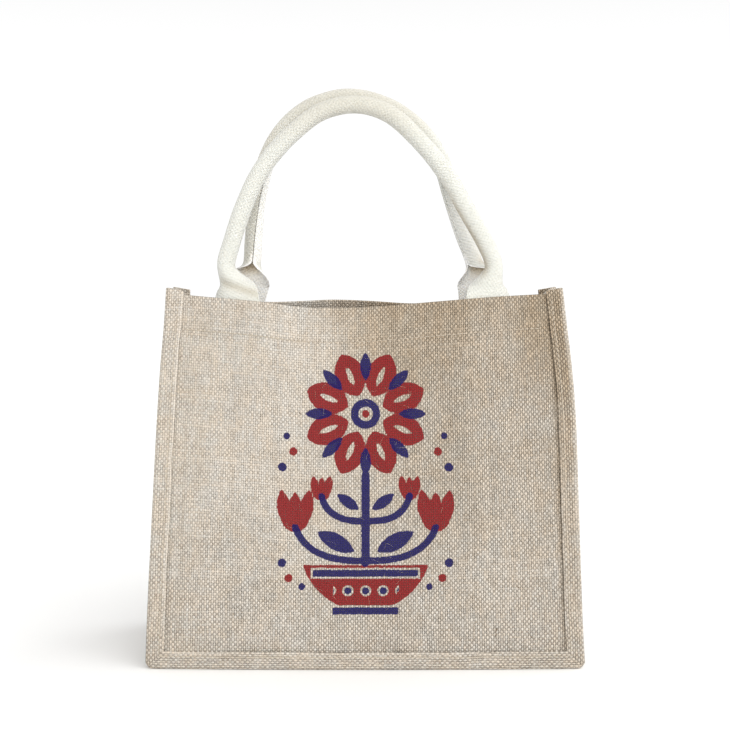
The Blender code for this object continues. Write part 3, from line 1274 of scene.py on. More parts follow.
    def bowl(self, x: Array, z: Array) -> Inks:
        """The bowl that it stands in, with a band and three dots, and the bowl's foot.

        Args:
            x: Places across.
            z: Places up.

        Returns:
            Shapes in red and in navy.
        """
        ax = np.abs(x)
        bowl = np.minimum(self.disc(x, z, (0, 114), 60.0), np.minimum(96.0 - z, z - 59.0))
        band = np.minimum(3.2 - np.abs(z - 88.5), 48.0 - ax)
        dots = self.disc(np.mod(ax + 8.0, 16.0) - 8.0, z, (0, 72.5), 3.4)
        dots = np.where(ax < 30, dots, NO_INK)
        foot = np.minimum(3.2 - np.abs(z - 54.0), 30.0 - ax)
        return [np.minimum(bowl, -np.maximum(band, dots) - 1.7)], [band, dots, foot]

    def inks(self, x: Array, z: Array) -> dict[str, Array]:
        """Both inks at places on the panel.

        Args:
            x: Places across, in metres.
            z: Places up, in metres.

        Returns:
            Signed distance in millimetres for each ink.
        """
        x, z = x / MM - self.middle, z / MM
        parts = [draw(x, z) for draw in (self.bloom, self.stems, self.bowl)]
        return {name: np.max([shape for part in parts for shape in part[k]], axis=0)
                for k, name in enumerate(("red", "navy"))}


# ---- panels


@dataclass
class Panel:
    """One face of the bag, with its top hem turned to the inside.

    Attributes:
        face: Which face it is.
        step: Size of the mesh's squares in metres.
        valley: How far it dips beside the left and the right strip.
        rise: How far it puffs up beyond the left, the right and the lower strip.
        printed: Whether it carries the print.
        seed: First seed of its ripples.
        grid: Half the width, and the height, over which its squares are counted.
        half_rim: Half its width at the rim.
        cloth_height: Height of its cloth from the lower seam to the rim.
        near_rim: Millimetres below the rim of the rows that round its edge.
        gather: How much more cloth its width takes in at the top than at the base, as a share.
    """

    face: Face
    step: float = 1.76 * MM
    valley: Pair = (0.0, 0.9 * MM)
    rise: Triple = (2.0 * MM, 0.7 * MM, 0.8 * MM)
    printed: bool = False
    seed: int = 5
    grid: Pair = (187 * MM, 325 * MM)
    half_rim: float = 183 * MM
    cloth_height: float = 327 * MM
    near_rim: Row = (1.35, 0.9, 0.5, 0.2, 0.03, 0.0)
    gather: float = 0.035

    def surface(self, x: Array, z: Array) -> Array:
        """How far the outer face stands from the middle plane, with all its small relief.

        Args:
            x: Places across.
            z: Heights.

        Returns:
            The distance of each place.
        """
        inset = FORM.edge(x, z) - np.abs(x)
        free = ease(inset, FORM.strip_width, 34 * MM) * ease(z, FORM.strip_width, 40 * MM)
        out = FORM.panel_out(self.face, x, z)
        out = out + Ripple(self.seed, 0.42 * MM, 34 * MM, 120 * MM).at(x, z * 0.6) * free
        out = out + Ripple(self.seed + 1, 0.10 * MM, 9 * MM, 24 * MM).at(x, z * 0.8) * free
        beside = bell(inset, FORM.strip_width, 1.6 * MM)
        out = out - np.where(x < 0, self.valley[0], self.valley[1]) * beside
        for past, rise in (
            (inset - FORM.strip_width, np.where(x < 0, self.rise[0], self.rise[1])),
            (z - FORM.strip_width, self.rise[2]),
        ):
            out = out + rise * ease(past, 0.0, 2.6 * MM) * (1 - ease(past, 16 * MM, 60 * MM))
        line = FORM.rims[self.face].at(x) - FORM.hem_height + FORM.hem_seam
        return out - 0.28 * MM * bell(z, line, 1.3 * MM) * free

    def marks(self, x: Array, z: Array) -> dict[str, Array]:
        """Browner and opener places: part the jute's own tone and weave, part painted shade.

        Args:
            x: Places across.
            z: Heights.

        Returns:
            The finish's numbers for each place.
        """
        inset = FORM.edge(x, z) - np.abs(x)
        # Browner towards the upper right: partly the jute's own tone, partly painted shade.
        high = 0.36 * ease(z, 40 * MM, 200 * MM) + 0.55 * ease(z, 215 * MM, 330 * MM)
        # Less of that browner tone and painted shade in an upright band at 125 mm.
        ridge = 1.0 - 0.35 * bell(x, 125 * MM, 22 * MM)
        # Painted shade: browner beside the right strip's seam.
        seam = np.where(x < 0, 0.0, 0.4) * bell(inset, FORM.strip_width, 4 * MM)
        # A little browner near the left edge.
        left = 0.10 * ease(-x, 140 * MM, 175 * MM)
        blotch = Ripple(self.seed + 3, 1.0, 40 * MM, 160 * MM).at(x, z)
        tan = ease(x, -75 * MM, 45 * MM) * high * ridge + seam + left
        # Opener and darker weave towards the right and higher up: partly looser weave, partly
        # painted shade.
        loose = ease(x, -70 * MM, 70 * MM) * (0.40 + 0.50 * ease(z, 60 * MM, 220 * MM))
        # Painted shade: opener and darker weave towards the bottom.
        low = 0.62 * (1.0 - ease(z, 10 * MM, 190 * MM)) * (1.0 - 0.3 * ease(x, 0.0, 120 * MM))
        return {
            "brown_and_shade": np.clip(0.04 + tan + 0.05 * blotch, 0.0, 1.0),
            "open": 0.05 + loose + low,
        }

    def build(self) -> Object:
        """Makes the panel and lets it stand for its solid.

        Returns:
            The sheet.
        """
        columns, rows = round(2 * self.grid[0] / self.step), round(self.grid[1] / self.step)
        share = np.linspace(-1.0, 1.0, columns + 1)
        top = FORM.rims[self.face].at(share * self.half_rim)
        body = np.linspace(0.0, 1.0, rows + 1)
        near_top = 1.0 - np.array(self.near_rim) * MM / self.cloth_height
        part = np.concatenate([body[body < near_top[0]], near_top])[:, None]
        z = FORM.seam_margin + part * (top - FORM.seam_margin)
        width = np.where(share < 0, FORM.left.at(z), FORM.right.at(z)) - FORM.seam_margin
        x = share * width
        out = self.surface(x, z)
        turned = ease(z, top - FORM.hem_height, top - FORM.hem_height + 1.2 * MM)
        thickness = mix(FORM.burlap, FORM.hem, turned)
        way = self.face.value
        across = x * (1 + self.gather * z / FORM.strip_top)
        sheet = SheetMesh(
            outer=np.stack([x, way * out, z], -1),
            inner=np.stack([x, way * (out - thickness), z], -1),
            cloth=np.stack([across, part * self.cloth_height + 0 * x], -1),
            marks=self.marks(x, z),
        )
        from_end = (top - z) + 0 * x
        sheet.round_edges(from_end, np.full(x.shape, 1.0))
        name = f"{self.face.name.lower()}_panel"
        if self.printed:
            inks = BloomPrint().inks(x, z)
            sheet.marks.update(inks)
            sheet.inner_marks = {ink: np.full(x.shape, NO_INK) for ink in inks}
        finish = BurlapFinish(f"{name}_burlap", printed=self.printed).make()
        piece = sheet.build(f"{name}_cloth", finish)
        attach(piece, "root")
        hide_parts(name)
        return piece


# ---- gusset


@dataclass
class Gusset:
    """One band: left wall, base, right wall, with its doubled strips on both faces.

    Attributes:
        corner_radius: Radius of the band's outer edge at the bottom corners.
        mitre_radius: Radius of the strips' inner fold there.
        roll_radius: Radius with which a strip turns into the wall.
        strip_slope: How much lower a strip's top end lies at its inner fold.
        straight_seam: How far a folded wall runs straight beside each seam.
        fold_skew: Powers that move the left and the right wall's pleat off its middle.
        slant: How much less a left and a right strip stand out at their inner fold.
        droop: How far the folded walls' top edge hangs below the strips' top.
        sink: How much deeper than the strips the walls begin.
        step: Distance between the stations up the sides.
        corner_steps: Stations round a bottom corner.
        wall_steps: Squares across the walls and the base.
        base_steps: Squares along the base.
        near_edge: Millimetres from the strips' top, and from their inner folds, of the points
            that round them.
        inward: Millimetres from the inner fold of a strip's other flat columns.
        roll_columns: Columns of its turn into the wall.
        pleat_steps: Steps on which a pleat's length is measured.
        halvings: Halvings that find its depth.
        seeds: Seeds of the inner fold, the strips' waves, the walls' waves and the blotches.
    """

    corner_radius: float = 7 * MM
    mitre_radius: float = 1.5 * MM
    roll_radius: float = 3.6 * MM
    strip_slope: float = 3 * MM
    straight_seam: float = 6 * MM
    fold_skew: Pair = (1.08, 0.93)
    slant: Pair = (2.3 * MM, 1.0 * MM)
    droop: float = 9 * MM
    sink: float = 0.6 * MM
    step: float = 3.6 * MM
    corner_steps: int = 12
    wall_steps: int = 56
    base_steps: int = 104
    near_edge: Row = (0.0, 0.06, 0.3, 0.8, 1.4, 1.9)
    inward: Row = (3.2, 5.0, 7.0, 9.2, 11.2)
    roll_columns: int = 8
    pleat_steps: int = 60
    halvings: int = 40
    seeds: tuple[int, int, int, int] = (31, 41, 51, 61)

    def stations(self) -> None:
        """Sets the outer and the inner edge of the strips, down the left side and round."""
        width = FORM.strip_width
        foot = width + self.mitre_radius
        first = FORM.strip_top - np.array([*self.near_edge, 3.4]) * MM
        rest = np.linspace(first[-1], foot, round((first[-1] - foot) / self.step) + 1)[1:]
        z = np.concatenate([first, rest])
        drop = self.strip_slope * ease(z, FORM.strip_top - 30 * MM, FORM.strip_top)
        turn = np.radians(90) * np.arange(1, self.corner_steps + 1) / self.corner_steps
        runs = []
        for side, table in ((-1, FORM.left), (1, FORM.right)):
            edge = table.at(z)
            half = float(table.at(np.array(0.0)))
            outer = np.stack([side * edge, z], -1)
            inner = np.stack([side * (edge - width), z - drop], -1)
            bend = np.stack([
                side * (half - self.corner_radius * (1 - np.cos(turn))),
                self.corner_radius * (1 - np.sin(turn))], -1)
            mitre = np.stack([
                side * (half - foot + self.mitre_radius * np.cos(turn)),
                foot - self.mitre_radius * np.sin(turn)], -1)
            runs.append((np.concatenate([outer, bend]), np.concatenate([inner, mitre])))
        part = np.linspace(0.0, 1.0, self.base_steps + 1)[1:-1, None]
        base = [mix(runs[0][k][-1], runs[1][k][-1], part) for k in (0, 1)]
        self.outer, self.inner = (
            np.concatenate([runs[0][k], base[k], runs[1][k][::-1]]) for k in (0, 1))
        count = len(z)
        total = len(self.outer)
        place = np.arange(total)
        from_end = np.minimum(place, total - 1 - place)
        self.from_top = np.where(
            from_end < count, FORM.strip_top - self.outer[:, 1], 1.0)
        self.on_side = self.outer[:, 1] > width
        self.bend = np.where(
            (from_end >= count) & (from_end < count + self.corner_steps),
            (from_end - count + 1) / self.corner_steps, np.where(from_end < count, 0.0, 1.0))
        self.along = lengths_along(self.outer)

    def travel(self, part: Array, span: Array, depth: Array) -> Array:
        """Inward travel of the side walls at shares of the way from front to back.

        Args:
            part: Shares of the way from front to back.
            span: Distance from front to back at each station.
            depth: Depth of the pleat at each station.

        Returns:
            The travel, by station and column.
        """
        straight = self.straight_seam / span
        place = np.clip((part - straight) / (1 - 2 * straight), 0.0, 1.0)
        skew = np.where(self.outer[:, :1] < 0, *self.fold_skew)
        return depth * np.sin(np.pi * place**skew) ** 2

    def depths(self, span: Array) -> Array:
        """Depth at which each folded wall has the cloth's own length. Found by halving.

        Args:
            span: Distance from front to back at each station.

        Returns:
            The depth at each station, 0 where the band is flat.
        """
        length = FORM.base_depth - 2 * FORM.strip_thickness - 2 * self.sink
        part = np.linspace(0.0, 1.0, self.pleat_steps + 1)[None, :]
        low, high = np.zeros_like(span), np.full_like(span, length / 2)
        for _ in range(self.halvings):
            depth = (low + high) / 2
            travel = self.travel(part, span, depth)
            steps = np.hypot(span / self.pleat_steps, np.diff(travel, axis=1))
            short = steps.sum(axis=1, keepdims=True) < length
            low, high = np.where(short, depth, low), np.where(short, high, depth)
        folded = self.on_side[:, None] & (span < length)
        return np.where(folded, (low + high) / 2, 0.0)

    def place(self, distance: Array, y: Array) -> Array:
        """Points this far inward from the outer edge, by station and column.

        Args:
            distance: Distance inward.
            y: Place from front to back.

        Returns:
            The points.
        """
        inward = (self.inner - self.outer) / FORM.strip_width
        near = np.minimum(distance, FORM.strip_width)
        x = self.outer[:, :1] + inward[:, :1] * distance
        z = self.outer[:, 1:] + inward[:, 1:] * near
        return np.stack(np.broadcast_arrays(x, y, z), -1)

    def strip(self, way: int) -> tuple[Array, Array, Array]:
        """A strip and its round outer edge, from its inner fold outward.

        Args:
            way: -1 for the front, 1 for the back.

        Returns:
            Outer points, inner points, and distance of the columns from the inner fold.
        """
        ripple = Ripple(self.seeds[0] + way, 0.35 * MM, 30 * MM, 110 * MM)
        wander = ripple.at(self.along, 0.0)[:, None]
        from_fold = np.array(self.near_edge + self.inward) * MM
        level = FORM.strip_width - self.roll_radius
        flat = FORM.strip_width + wander - from_fold * ((level + wander) / level)
        turn = np.radians(np.linspace(0, 90, self.roll_columns))
        round_off = self.roll_radius * (1 - np.sin(turn)) + 0 * wander
        distance = np.concatenate([flat, round_off], axis=1)
        drop = np.concatenate([0 * from_fold, self.roll_radius * (1 - np.cos(turn))])
        under = np.concatenate([0 * from_fold, np.sin(turn)])
        spot = self.place(distance, 0.0)
        out = FORM.strip_out(spot[..., 0], spot[..., 2])
        right = spot[..., 0] > 0
        across = np.clip((distance - 2 * MM) / (FORM.strip_width - 4 * MM), 0.0, 1.0)
        hollow = np.sin(np.pi * across) * np.where(right, 0.55, 0.25) * MM
        hollow = hollow * ease(spot[..., 2], 20 * MM, 90 * MM)
        crease = 0.7 * MM * bell(self.bend[:, None], 0.5, 0.11)
        ripple = Ripple(self.seeds[1] + way, 0.22 * MM, 14 * MM, 60 * MM)
        wave = ripple.at(self.along[:, None], distance)
        wave = (wave - 0.2 * MM) * ease(distance, 1 * MM, 8 * MM)
        slant = np.where(right, self.slant[1], self.slant[0])
        slant = slant * ease(distance, 3 * MM, FORM.strip_width) * self.on_side[:, None]
        face_y = out - drop - hollow - crease - slant + wave
        inner_distance = mix(distance, np.full_like(distance, FORM.burlap), under)
        inner_y = out - FORM.strip_thickness - self.sink * (1 - np.cos(np.arcsin(under)))
        return (
            self.place(distance, way * face_y), self.place(inner_distance, way * inner_y),
            FORM.strip_width + wander - distance)

    def build(self) -> Object:
        """Makes the band and lets it stand for its solid.

        Returns:
            The band.
        """
        self.stations()
        edge_out = FORM.strip_out(self.outer[:, 0], self.outer[:, 1])[:, None]
        start = edge_out - FORM.strip_thickness - self.sink
        span = 2 * start
        depth = self.depths(span)
        part = np.linspace(0.0, 1.0, self.wall_steps + 1)[None, :]
        y = mix(-start, start, part)
        ripple = Ripple(self.seeds[2], 0.5 * MM, 22 * MM, 80 * MM)
        wave = ripple.at(self.along[:, None], part * 0.15)
        loose = ease(np.minimum(part, 1 - part), 0.03, 0.14) * self.on_side[:, None]
        distance = self.travel(part, span, depth) + (wave + 0.9 * MM) * loose
        ahead = unit(np.stack([np.gradient(distance, axis=1), np.gradient(y, axis=1)], -1))
        wall_outer = self.place(distance, y)
        wall_inner = self.place(
            distance + FORM.burlap * ahead[..., 1], y - FORM.burlap * ahead[..., 0])
        top = ease(self.outer[:, 1], FORM.strip_top - 60 * MM, FORM.strip_top)[:, None]
        hang = self.droop * top * ease(distance, 4 * MM, 24 * MM)
        wall_outer[..., 2] -= hang
        wall_inner[..., 2] -= hang
        front, back = self.strip(-1), self.strip(1)
        outer = np.concatenate([front[0], wall_outer, back[0][:, ::-1]], axis=1)
        inner = np.concatenate([front[1], wall_inner, back[1][:, ::-1]], axis=1)
        from_fold = np.concatenate(
            [front[2], np.full(y.shape, 1.0), back[2][:, ::-1]], axis=1)
        sheet = SheetMesh(outer, inner, self.wall_cloth(outer))
        sheet.corner_cloth = self.corners(sheet.cloth, outer, front[0].shape[1])
        sheet.marks = self.marks(outer, from_fold)
        sheet.round_edges(np.broadcast_to(self.from_top[:, None], y.shape[:1] + outer.shape[1:2]),
                          from_fold)
        piece = sheet.build("gusset_cloth", BurlapFinish("gusset_burlap").make())
        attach(piece, "root")
        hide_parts("gusset")
        return piece

    def wall_cloth(self, outer: Array) -> Array:
        """Place on the flat band: across from its middle, and along from its first end.

        Args:
            outer: Outer points.

        Returns:
            The two places of each point, in metres.
        """
        steps = np.linalg.norm(np.diff(outer, axis=1), axis=2)
        across = np.concatenate([np.zeros((len(outer), 1)), np.cumsum(steps, axis=1)], axis=1)
        middle = across[:, across.shape[1] // 2]
        return np.stack(
            [across - middle[:, None], np.broadcast_to(self.along[:, None], across.shape)], -1)

    def corners(self, cloth: Array, outer: Array, strip: int) -> Array:
        """Cloth places for each face's corners. On the strips the threads meet at the mitre.

        Args:
            cloth: Cloth places on the walls.
            outer: Outer points.
            strip: Number of columns in a strip.

        Returns:
            Places by row, column and corner.
        """
        x, z = outer[..., 0], outer[..., 2]
        beside = np.stack([FORM.edge(x, z) - np.abs(x), 0.35 - z], -1)
        below = np.stack([z, x + 0.9], -1)
        column = np.arange(outer.shape[1] - 1)
        on_strip = (column < strip) | (column >= outer.shape[1] - 1 - strip)
        middle = (self.bend[:-1] + self.bend[1:]) / 2
        flat = np.where((middle < 0.5)[:, None, None, None], quads(beside), quads(below))
        return np.where(on_strip[None, :, None, None], flat, quads(cloth))

    def marks(self, outer: Array, from_fold: Array) -> dict[str, Array]:
        """Browner and opener places, mostly painted shade, and paler inner folds.

        Args:
            outer: Outer points.
            from_fold: Distance from a strip's inner fold.

        Returns:
            The finish's numbers for each point.
        """
        x, z = outer[..., 0], outer[..., 2]
        from_edge = FORM.strip_width - np.minimum(from_fold, FORM.strip_width)
        right, left = ease(x, 0.10, 0.17), ease(-x, 0.10, 0.17)
        # Painted shade: the right strips browner, more so higher up; their outer edge stays paler,
        # a painted highlight.
        tan = right * (0.12 + 0.88 * ease(z, 60 * MM, 320 * MM))
        tan = tan * (0.15 + 0.85 * ease(from_edge, 1.5 * MM, 6 * MM))
        ripple = Ripple(self.seeds[3], 1.0, 40 * MM, 160 * MM)
        blotch = ripple.at(self.along[:, None], outer[..., 1])
        # Painted shade: opener and darker weave on the right strips, more so higher up.
        loose = right * (0.35 + 1.1 * ease(z, 120 * MM, 330 * MM))
        loose = loose * ease(from_edge, 1.0 * MM, 6 * MM)
        # Paler along the strips' inner folds, more on the left: partly wear, partly a painted
        # highlight.
        fold = 1 - ease(from_fold, 1.0 * MM, 2.6 * MM)
        # The openness mark also paints shade towards the bottom.
        return {
            "brown_and_shade": np.clip(0.08 + tan + 0.05 * blotch, 0.0, 1.0),
            "open": 0.12 + loose + 0.5 * (1.0 - ease(z, 10 * MM, 190 * MM)),
            "wear_and_highlight": fold * (0.35 + 0.65 * left),
        }


# ---- handles


@dataclass
class Handle:
    """Webbing sewn inside the hem at both ends and rolled round a cord between them.

    Attributes:
        face: The panel that it hangs on.
        points: Place across and height of its middle, from the left tab to the right one.
        roll_start: Height at which the web begins to roll.
        roll_end: Height from which it is a tube.
        arch_top: Height from which the arch is upright.
        arch_y: The arch's distance from the middle plane.
        web_width: Width of the flat web.
        web_thickness: Thickness of the web.
        tube_radius: Outer radius of the tube.
        core_radius: Radius of the cord in it.
        tab_gap: Gap between a tab and the hem.
        core_margin: How far above the roll's end the cord begins.
        wrap: How much wider than the flat web the rolled one reaches, as a share.
        turns: Degrees that the slot is turned about the tube, low and high on the left, at the top
            and on the right.
        turns_at: Shares of the web's length at which they hold.
        tuck: Whether the left tab has a soft diagonal roll across it.
        steps: Steps from point to point.
        web_steps: Even squares across the web.
        edge_columns: Millimetres from the web's edges of the columns that round them.
        edge_band: Distance from the edges at which the even squares begin.
        seed: Seed of the web's waves.
        sides: Sides of the cord.
        strands: Strands of the cord.
        lay: Length of cord in which a strand reaches its neighbour's place.
        relief: The cord's radius in its grooves and what a strand adds, as shares.
    """

    face: Face
    points: tuple[Point, ...]
    roll_start: float
    roll_end: float
    arch_top: float = 500 * MM
    arch_y: float = 20.5 * MM
    web_width: float = 42 * MM
    web_thickness: float = 1.8 * MM
    tube_radius: float = 8.5 * MM
    core_radius: float = 6.3 * MM
    tab_gap: float = 0.6 * MM
    core_margin: float = 3 * MM
    wrap: float = 0.125
    turns: tuple[float, float, float, float] = (0.0, 0.0, 0.0, 0.0)
    turns_at: tuple[float, float, float, float] = (0.13, 0.26, 0.5, 0.88)
    tuck: bool = False
    steps: int = 14
    web_steps: int = 34
    edge_columns: Row = (0.0, 0.05, 0.25, 0.6, 1.0)
    edge_band: float = 1.8 * MM
    seed: int = 71
    sides: int = 30
    strands: int = 3
    lay: float = 26 * MM
    relief: Pair = (0.84, 0.155)

    def tab_out(self, x: Array, z: Array) -> Array:
        """Middle of the web where it lies on the inside of a hem. Above the rim it is plumb.

        Args:
            x: Places across.
            z: Heights.

        Returns:
            Place from front to back.
        """
        out = FORM.panel_out(self.face, x, np.minimum(z, FORM.strip_top))
        return self.face.value * (out - FORM.hem - self.tab_gap - self.web_thickness / 2)

    def route(self) -> None:
        """Sets the line along the web's middle, its direction, and how far it is rolled."""
        table = np.array(self.points) * MM
        places = []
        for i in range(len(table) - 1):
            p0, p1, p2, p3 = (table[min(len(table) - 1, max(0, i + k))] for k in (-1, 0, 1, 2))
            last = i == len(table) - 2
            t = (np.arange(self.steps + 1 if last else self.steps) / self.steps)[:, None]
            places.append(0.5 * (
                2 * p1 + (p2 - p0) * t + (2 * p0 - 5 * p1 + 4 * p2 - p3) * t**2
                + (3 * p1 - p0 - 3 * p2 + p3) * t**3))
        flat = np.concatenate(places)
        x, z = flat[:, 0], flat[:, 1]
        self.rolled = ease(z, self.roll_start, self.roll_end)
        rise = ease(z, FORM.strip_top, self.arch_top)
        y = mix(self.tab_out(x, z), self.face.value * self.arch_y, rise)
        self.line = np.stack([x, y, z], -1)
        level = np.stack([x, 0 * x, z], -1)
        self.ahead = unit(np.gradient(level, axis=0))
        self.along = lengths_along(self.line)
        self.inside = np.broadcast_to([0.0, -float(self.face.value), 0.0], self.ahead.shape)
        self.across = unit(np.cross(self.ahead, self.inside))

    def build_web(self) -> Object:
        """Makes the webbing and lets it stand for its solid.

        Returns:
            The webbing.
        """
        roll_radius = self.tube_radius - self.web_thickness / 2
        fine = np.array(self.edge_columns) * MM
        half = self.web_width / 2
        middle = np.linspace(-half + self.edge_band, half - self.edge_band, self.web_steps + 1)
        u = np.concatenate([-half + fine, middle, (half - fine)[::-1]])[None, :]
        curve = (self.rolled / roll_radius)[:, None]
        share = (self.along / self.along[-1])[:, None]
        turn = np.interp(share, self.turns_at, self.turns)
        wide = u * (1 + self.wrap * self.rolled[:, None])
        wide = wide - np.radians(turn) * roll_radius * self.rolled[:, None]
        angle = curve * wide
        safe = np.maximum(curve, 1e-6)
        sideways = np.where(curve > 1e-6, np.sin(angle) / safe, wide)
        depth = np.where(curve > 1e-6, (1 - np.cos(angle)) / safe, 0.0)
        across, inside = self.across[:, None, :], self.inside[:, None, :]
        spot = self.line[:, None, :] + across * sideways[..., None] + inside * depth[..., None]
        lie = self.tab_out(spot[..., 0], spot[..., 2])
        lie = lie - self.tab_out(self.line[:, 0], self.line[:, 2])[:, None]
        spot[..., 1] += lie * (1 - self.rolled)[:, None]
        normal = inside * np.cos(angle)[..., None] - across * np.sin(angle)[..., None]
        loose = np.broadcast_to(self.rolled[:, None], angle.shape)
        ripple = Ripple(self.seed + self.face.value, 0.13 * MM, 26 * MM, 90 * MM)
        wave = ripple.at(self.along[:, None], u + 0 * curve) * loose
        spot = spot - normal * wave[..., None]
        if self.tuck:
            spot[..., 1] += self.face.value * self.roll_across(spot[..., 0], spot[..., 2])
        thick = self.web_thickness / 2
        sheet = SheetMesh(
            outer=spot - normal * thick, inner=spot + normal * thick,
            cloth=np.stack(np.broadcast_arrays(u, self.along[:, None]), -1),
            # Marks for painted shade and painted light on the web; the inner faces get more painted
            # light.
            marks={"fold": self.painted_shade_tone(spot, u), "painted_light": self.painted_light_tone(spot, u, 0.0)},
            inner_marks={"painted_light": self.painted_light_tone(spot, u, 0.8)})
        end = np.minimum(self.along, self.along[-1] - self.along)[:, None] + 0.02 * MM
        sheet.round_edges(np.broadcast_to(end, angle.shape),
                          np.broadcast_to(half - np.abs(u), angle.shape))
        name = f"handle_{self.face.name.lower()}"
        piece = sheet.build(f"{name}_web", WebbingFinish(f"{name}_webbing").make())
        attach(piece, "root")
        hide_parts(name)
        return piece

    @staticmethod
    def beside_roll(x: Array, z: Array) -> tuple[Array, Array]:
        """Finds points' places by the valley across the left tab.

        Args:
            x: Places across.
            z: Heights.

        Returns:
            Distance above the valley, and how much of it shows.
        """
        part = np.clip((x + 0.134) / 0.036, 0.0, 1.2)
        valley = 0.3525 - 0.0135 * part**0.7
        shown = ease(x, -0.140, -0.131) * (1 - ease(x, -0.103, -0.095))
        return z - valley, shown

    def roll_across(self, x: Array, z: Array) -> Array:
        """Height of the soft diagonal roll where the left tab opens out of the tube.

        Args:
            x: Places across.
            z: Heights.

        Returns:
            The height at each point.
        """
        above, shown = self.beside_roll(x, z)
        ridge = 2.0 * MM * bell(above, 9.0 * MM, 6.0 * MM)
        return (ridge - 1.9 * MM * bell(above, 0.0, 4.4 * MM)) * shown

    def painted_shade_tone(self, spot: Array, u: Array) -> Array:
        """How much painted shade each point gets, and how much darker the arch's top is, 0 to 1.

        Args:
            spot: Points on the web.
            u: Place across the web.

        Returns:
            A number for each point.
        """
        x, z = spot[..., 0], spot[..., 2]
        # Darker towards the arch's top.
        tone = 0.28 * ease(z, 0.47, 0.525)
        if self.tuck:
            # Painted shade in the valley across the left tab.
            above, shown = self.beside_roll(x, z)
            tone += 0.40 * shown * bell(above, 1.0 * MM, 4.5 * MM)
        if self.face is Face.BACK:
            # Painted shade at the back tabs' necks, and on the left flap of the back handle's left
            # leg.
            neck = bell(z, 0.368, 9 * MM)
            tone += 0.7 * neck * (1 - ease(np.abs(u), 6 * MM, 15 * MM))
            left = ease(-u, 5 * MM, 9 * MM) * ease(z, 0.366, 0.376) * ease(-x, 0.08, 0.09)
            tone += 0.22 * left
        else:
            # Painted shade along the left side of the front handle's right leg.
            beside = bell(u, -8.8 * MM, 3.8 * MM)
            high = ease(z, 0.352, 0.366) * (1 - ease(z, 0.41, 0.47))
            tone += 0.75 * beside * high * ease(x, 0.06, 0.09)
        return np.clip(tone, 0.0, 1.0)

    def painted_light_tone(self, spot: Array, u: Array, tab: float) -> Array:
        """How much painted light each point gets, 0 to 1.

        Args:
            spot: Points on the web.
            u: Place across the web.
            tab: How much painted light the flat tabs get, against 1 for the edges of the back ones.

        Returns:
            A number for each point.
        """
        x, z = spot[..., 0], spot[..., 2]
        if self.face is Face.FRONT:
            return np.zeros(z.shape)
        # Painted light on the back tabs' flat parts, and a painted highlight along their edges.
        flat = 1 - ease(z, 0.358, 0.376)
        edge = ease(np.abs(u), 18.6 * MM, 19.6 * MM) * (1 - ease(z, 0.374, 0.384))
        edge = edge * ease(z, 0.340, 0.352)
        rolled = ease(z, 0.366, 0.376)
        # Painted light on the right half of the back handle's left leg and on its right leg.
        left = 0.55 * ease(u, 3 * MM, 7 * MM) * ease(-x, 0.07, 0.09)
        right = 0.35 * (1 - ease(z, 0.42, 0.46)) * ease(x, 0.07, 0.09)
        return np.maximum(np.maximum(tab * flat, edge), rolled * (left + right))

    def build_core(self) -> Object:
        """Makes the twisted cord and lets it stand for its solid.

        Returns:
            The cord.
        """
        keep = self.line[:, 2] > self.roll_end + self.core_margin
        rise = self.tube_radius - self.web_thickness / 2 + 0.2 * MM
        line = self.line[keep] + self.inside[keep] * rise
        across, inside = self.across[keep][:, None, :], self.inside[keep][:, None, :]
        along = lengths_along(line)
        sides = self.sides
        turn = math.tau * np.arange(sides + 1) / sides
        twist = along[:, None] / self.lay * math.tau / self.strands
        wave = np.abs(np.cos((turn[None, :] - twist) * self.strands / 2))
        radius = self.core_radius * (self.relief[0] + self.relief[1] * wave)
        end = np.minimum(along, along[-1] - along)
        radius = radius * np.sqrt(1 - (1 - np.clip(end / (4 * MM), 0.02, 1.0)) ** 2)[:, None]
        ring = line[:, None, :] + radius[..., None] * (
            across * np.cos(turn)[None, :, None] + inside * np.sin(turn)[None, :, None])
        rows = len(line)
        number = np.arange(rows * sides).reshape(rows, sides)
        faces = ring_quads(number)
        turned = turned_out(ring[:, :-1].reshape(-1, 3), faces)
        name = f"handle_{self.face.name.lower()}_core"
        mesh = bpy.data.meshes.new(f"{name}_cord")
        ends = [number[0][::-1].tolist(), number[-1].tolist()]
        if turned is not faces:
            ends = [row[::-1] for row in ends]
        mesh.from_pydata(ring[:, :-1].reshape(-1, 3).tolist(), [], turned.tolist() + ends)
        places = np.stack(np.broadcast_arrays(turn * self.core_radius, along[:, None]), -1)
        corner = quads(places).reshape(-1, 4, 2)
        corner = corner if turned is faces else corner[:, ::-1]
        flat = np.concatenate([corner.reshape(-1, 2), np.zeros((2 * sides, 2))])
        mesh.uv_layers.new(name="cloth").data.foreach_set(
            "uv", flat.reshape(-1).astype(np.float32))
        piece = link(f"{name}_cord", mesh, CordFinish(f"{name}_fibre").make())
        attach(piece, "root")
        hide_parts(name)
        return piece

    def build(self) -> None:
        """Makes the webbing and its cord."""
        self.route()
        self.build_web()
        self.build_core()


# ---- sewing and fibres


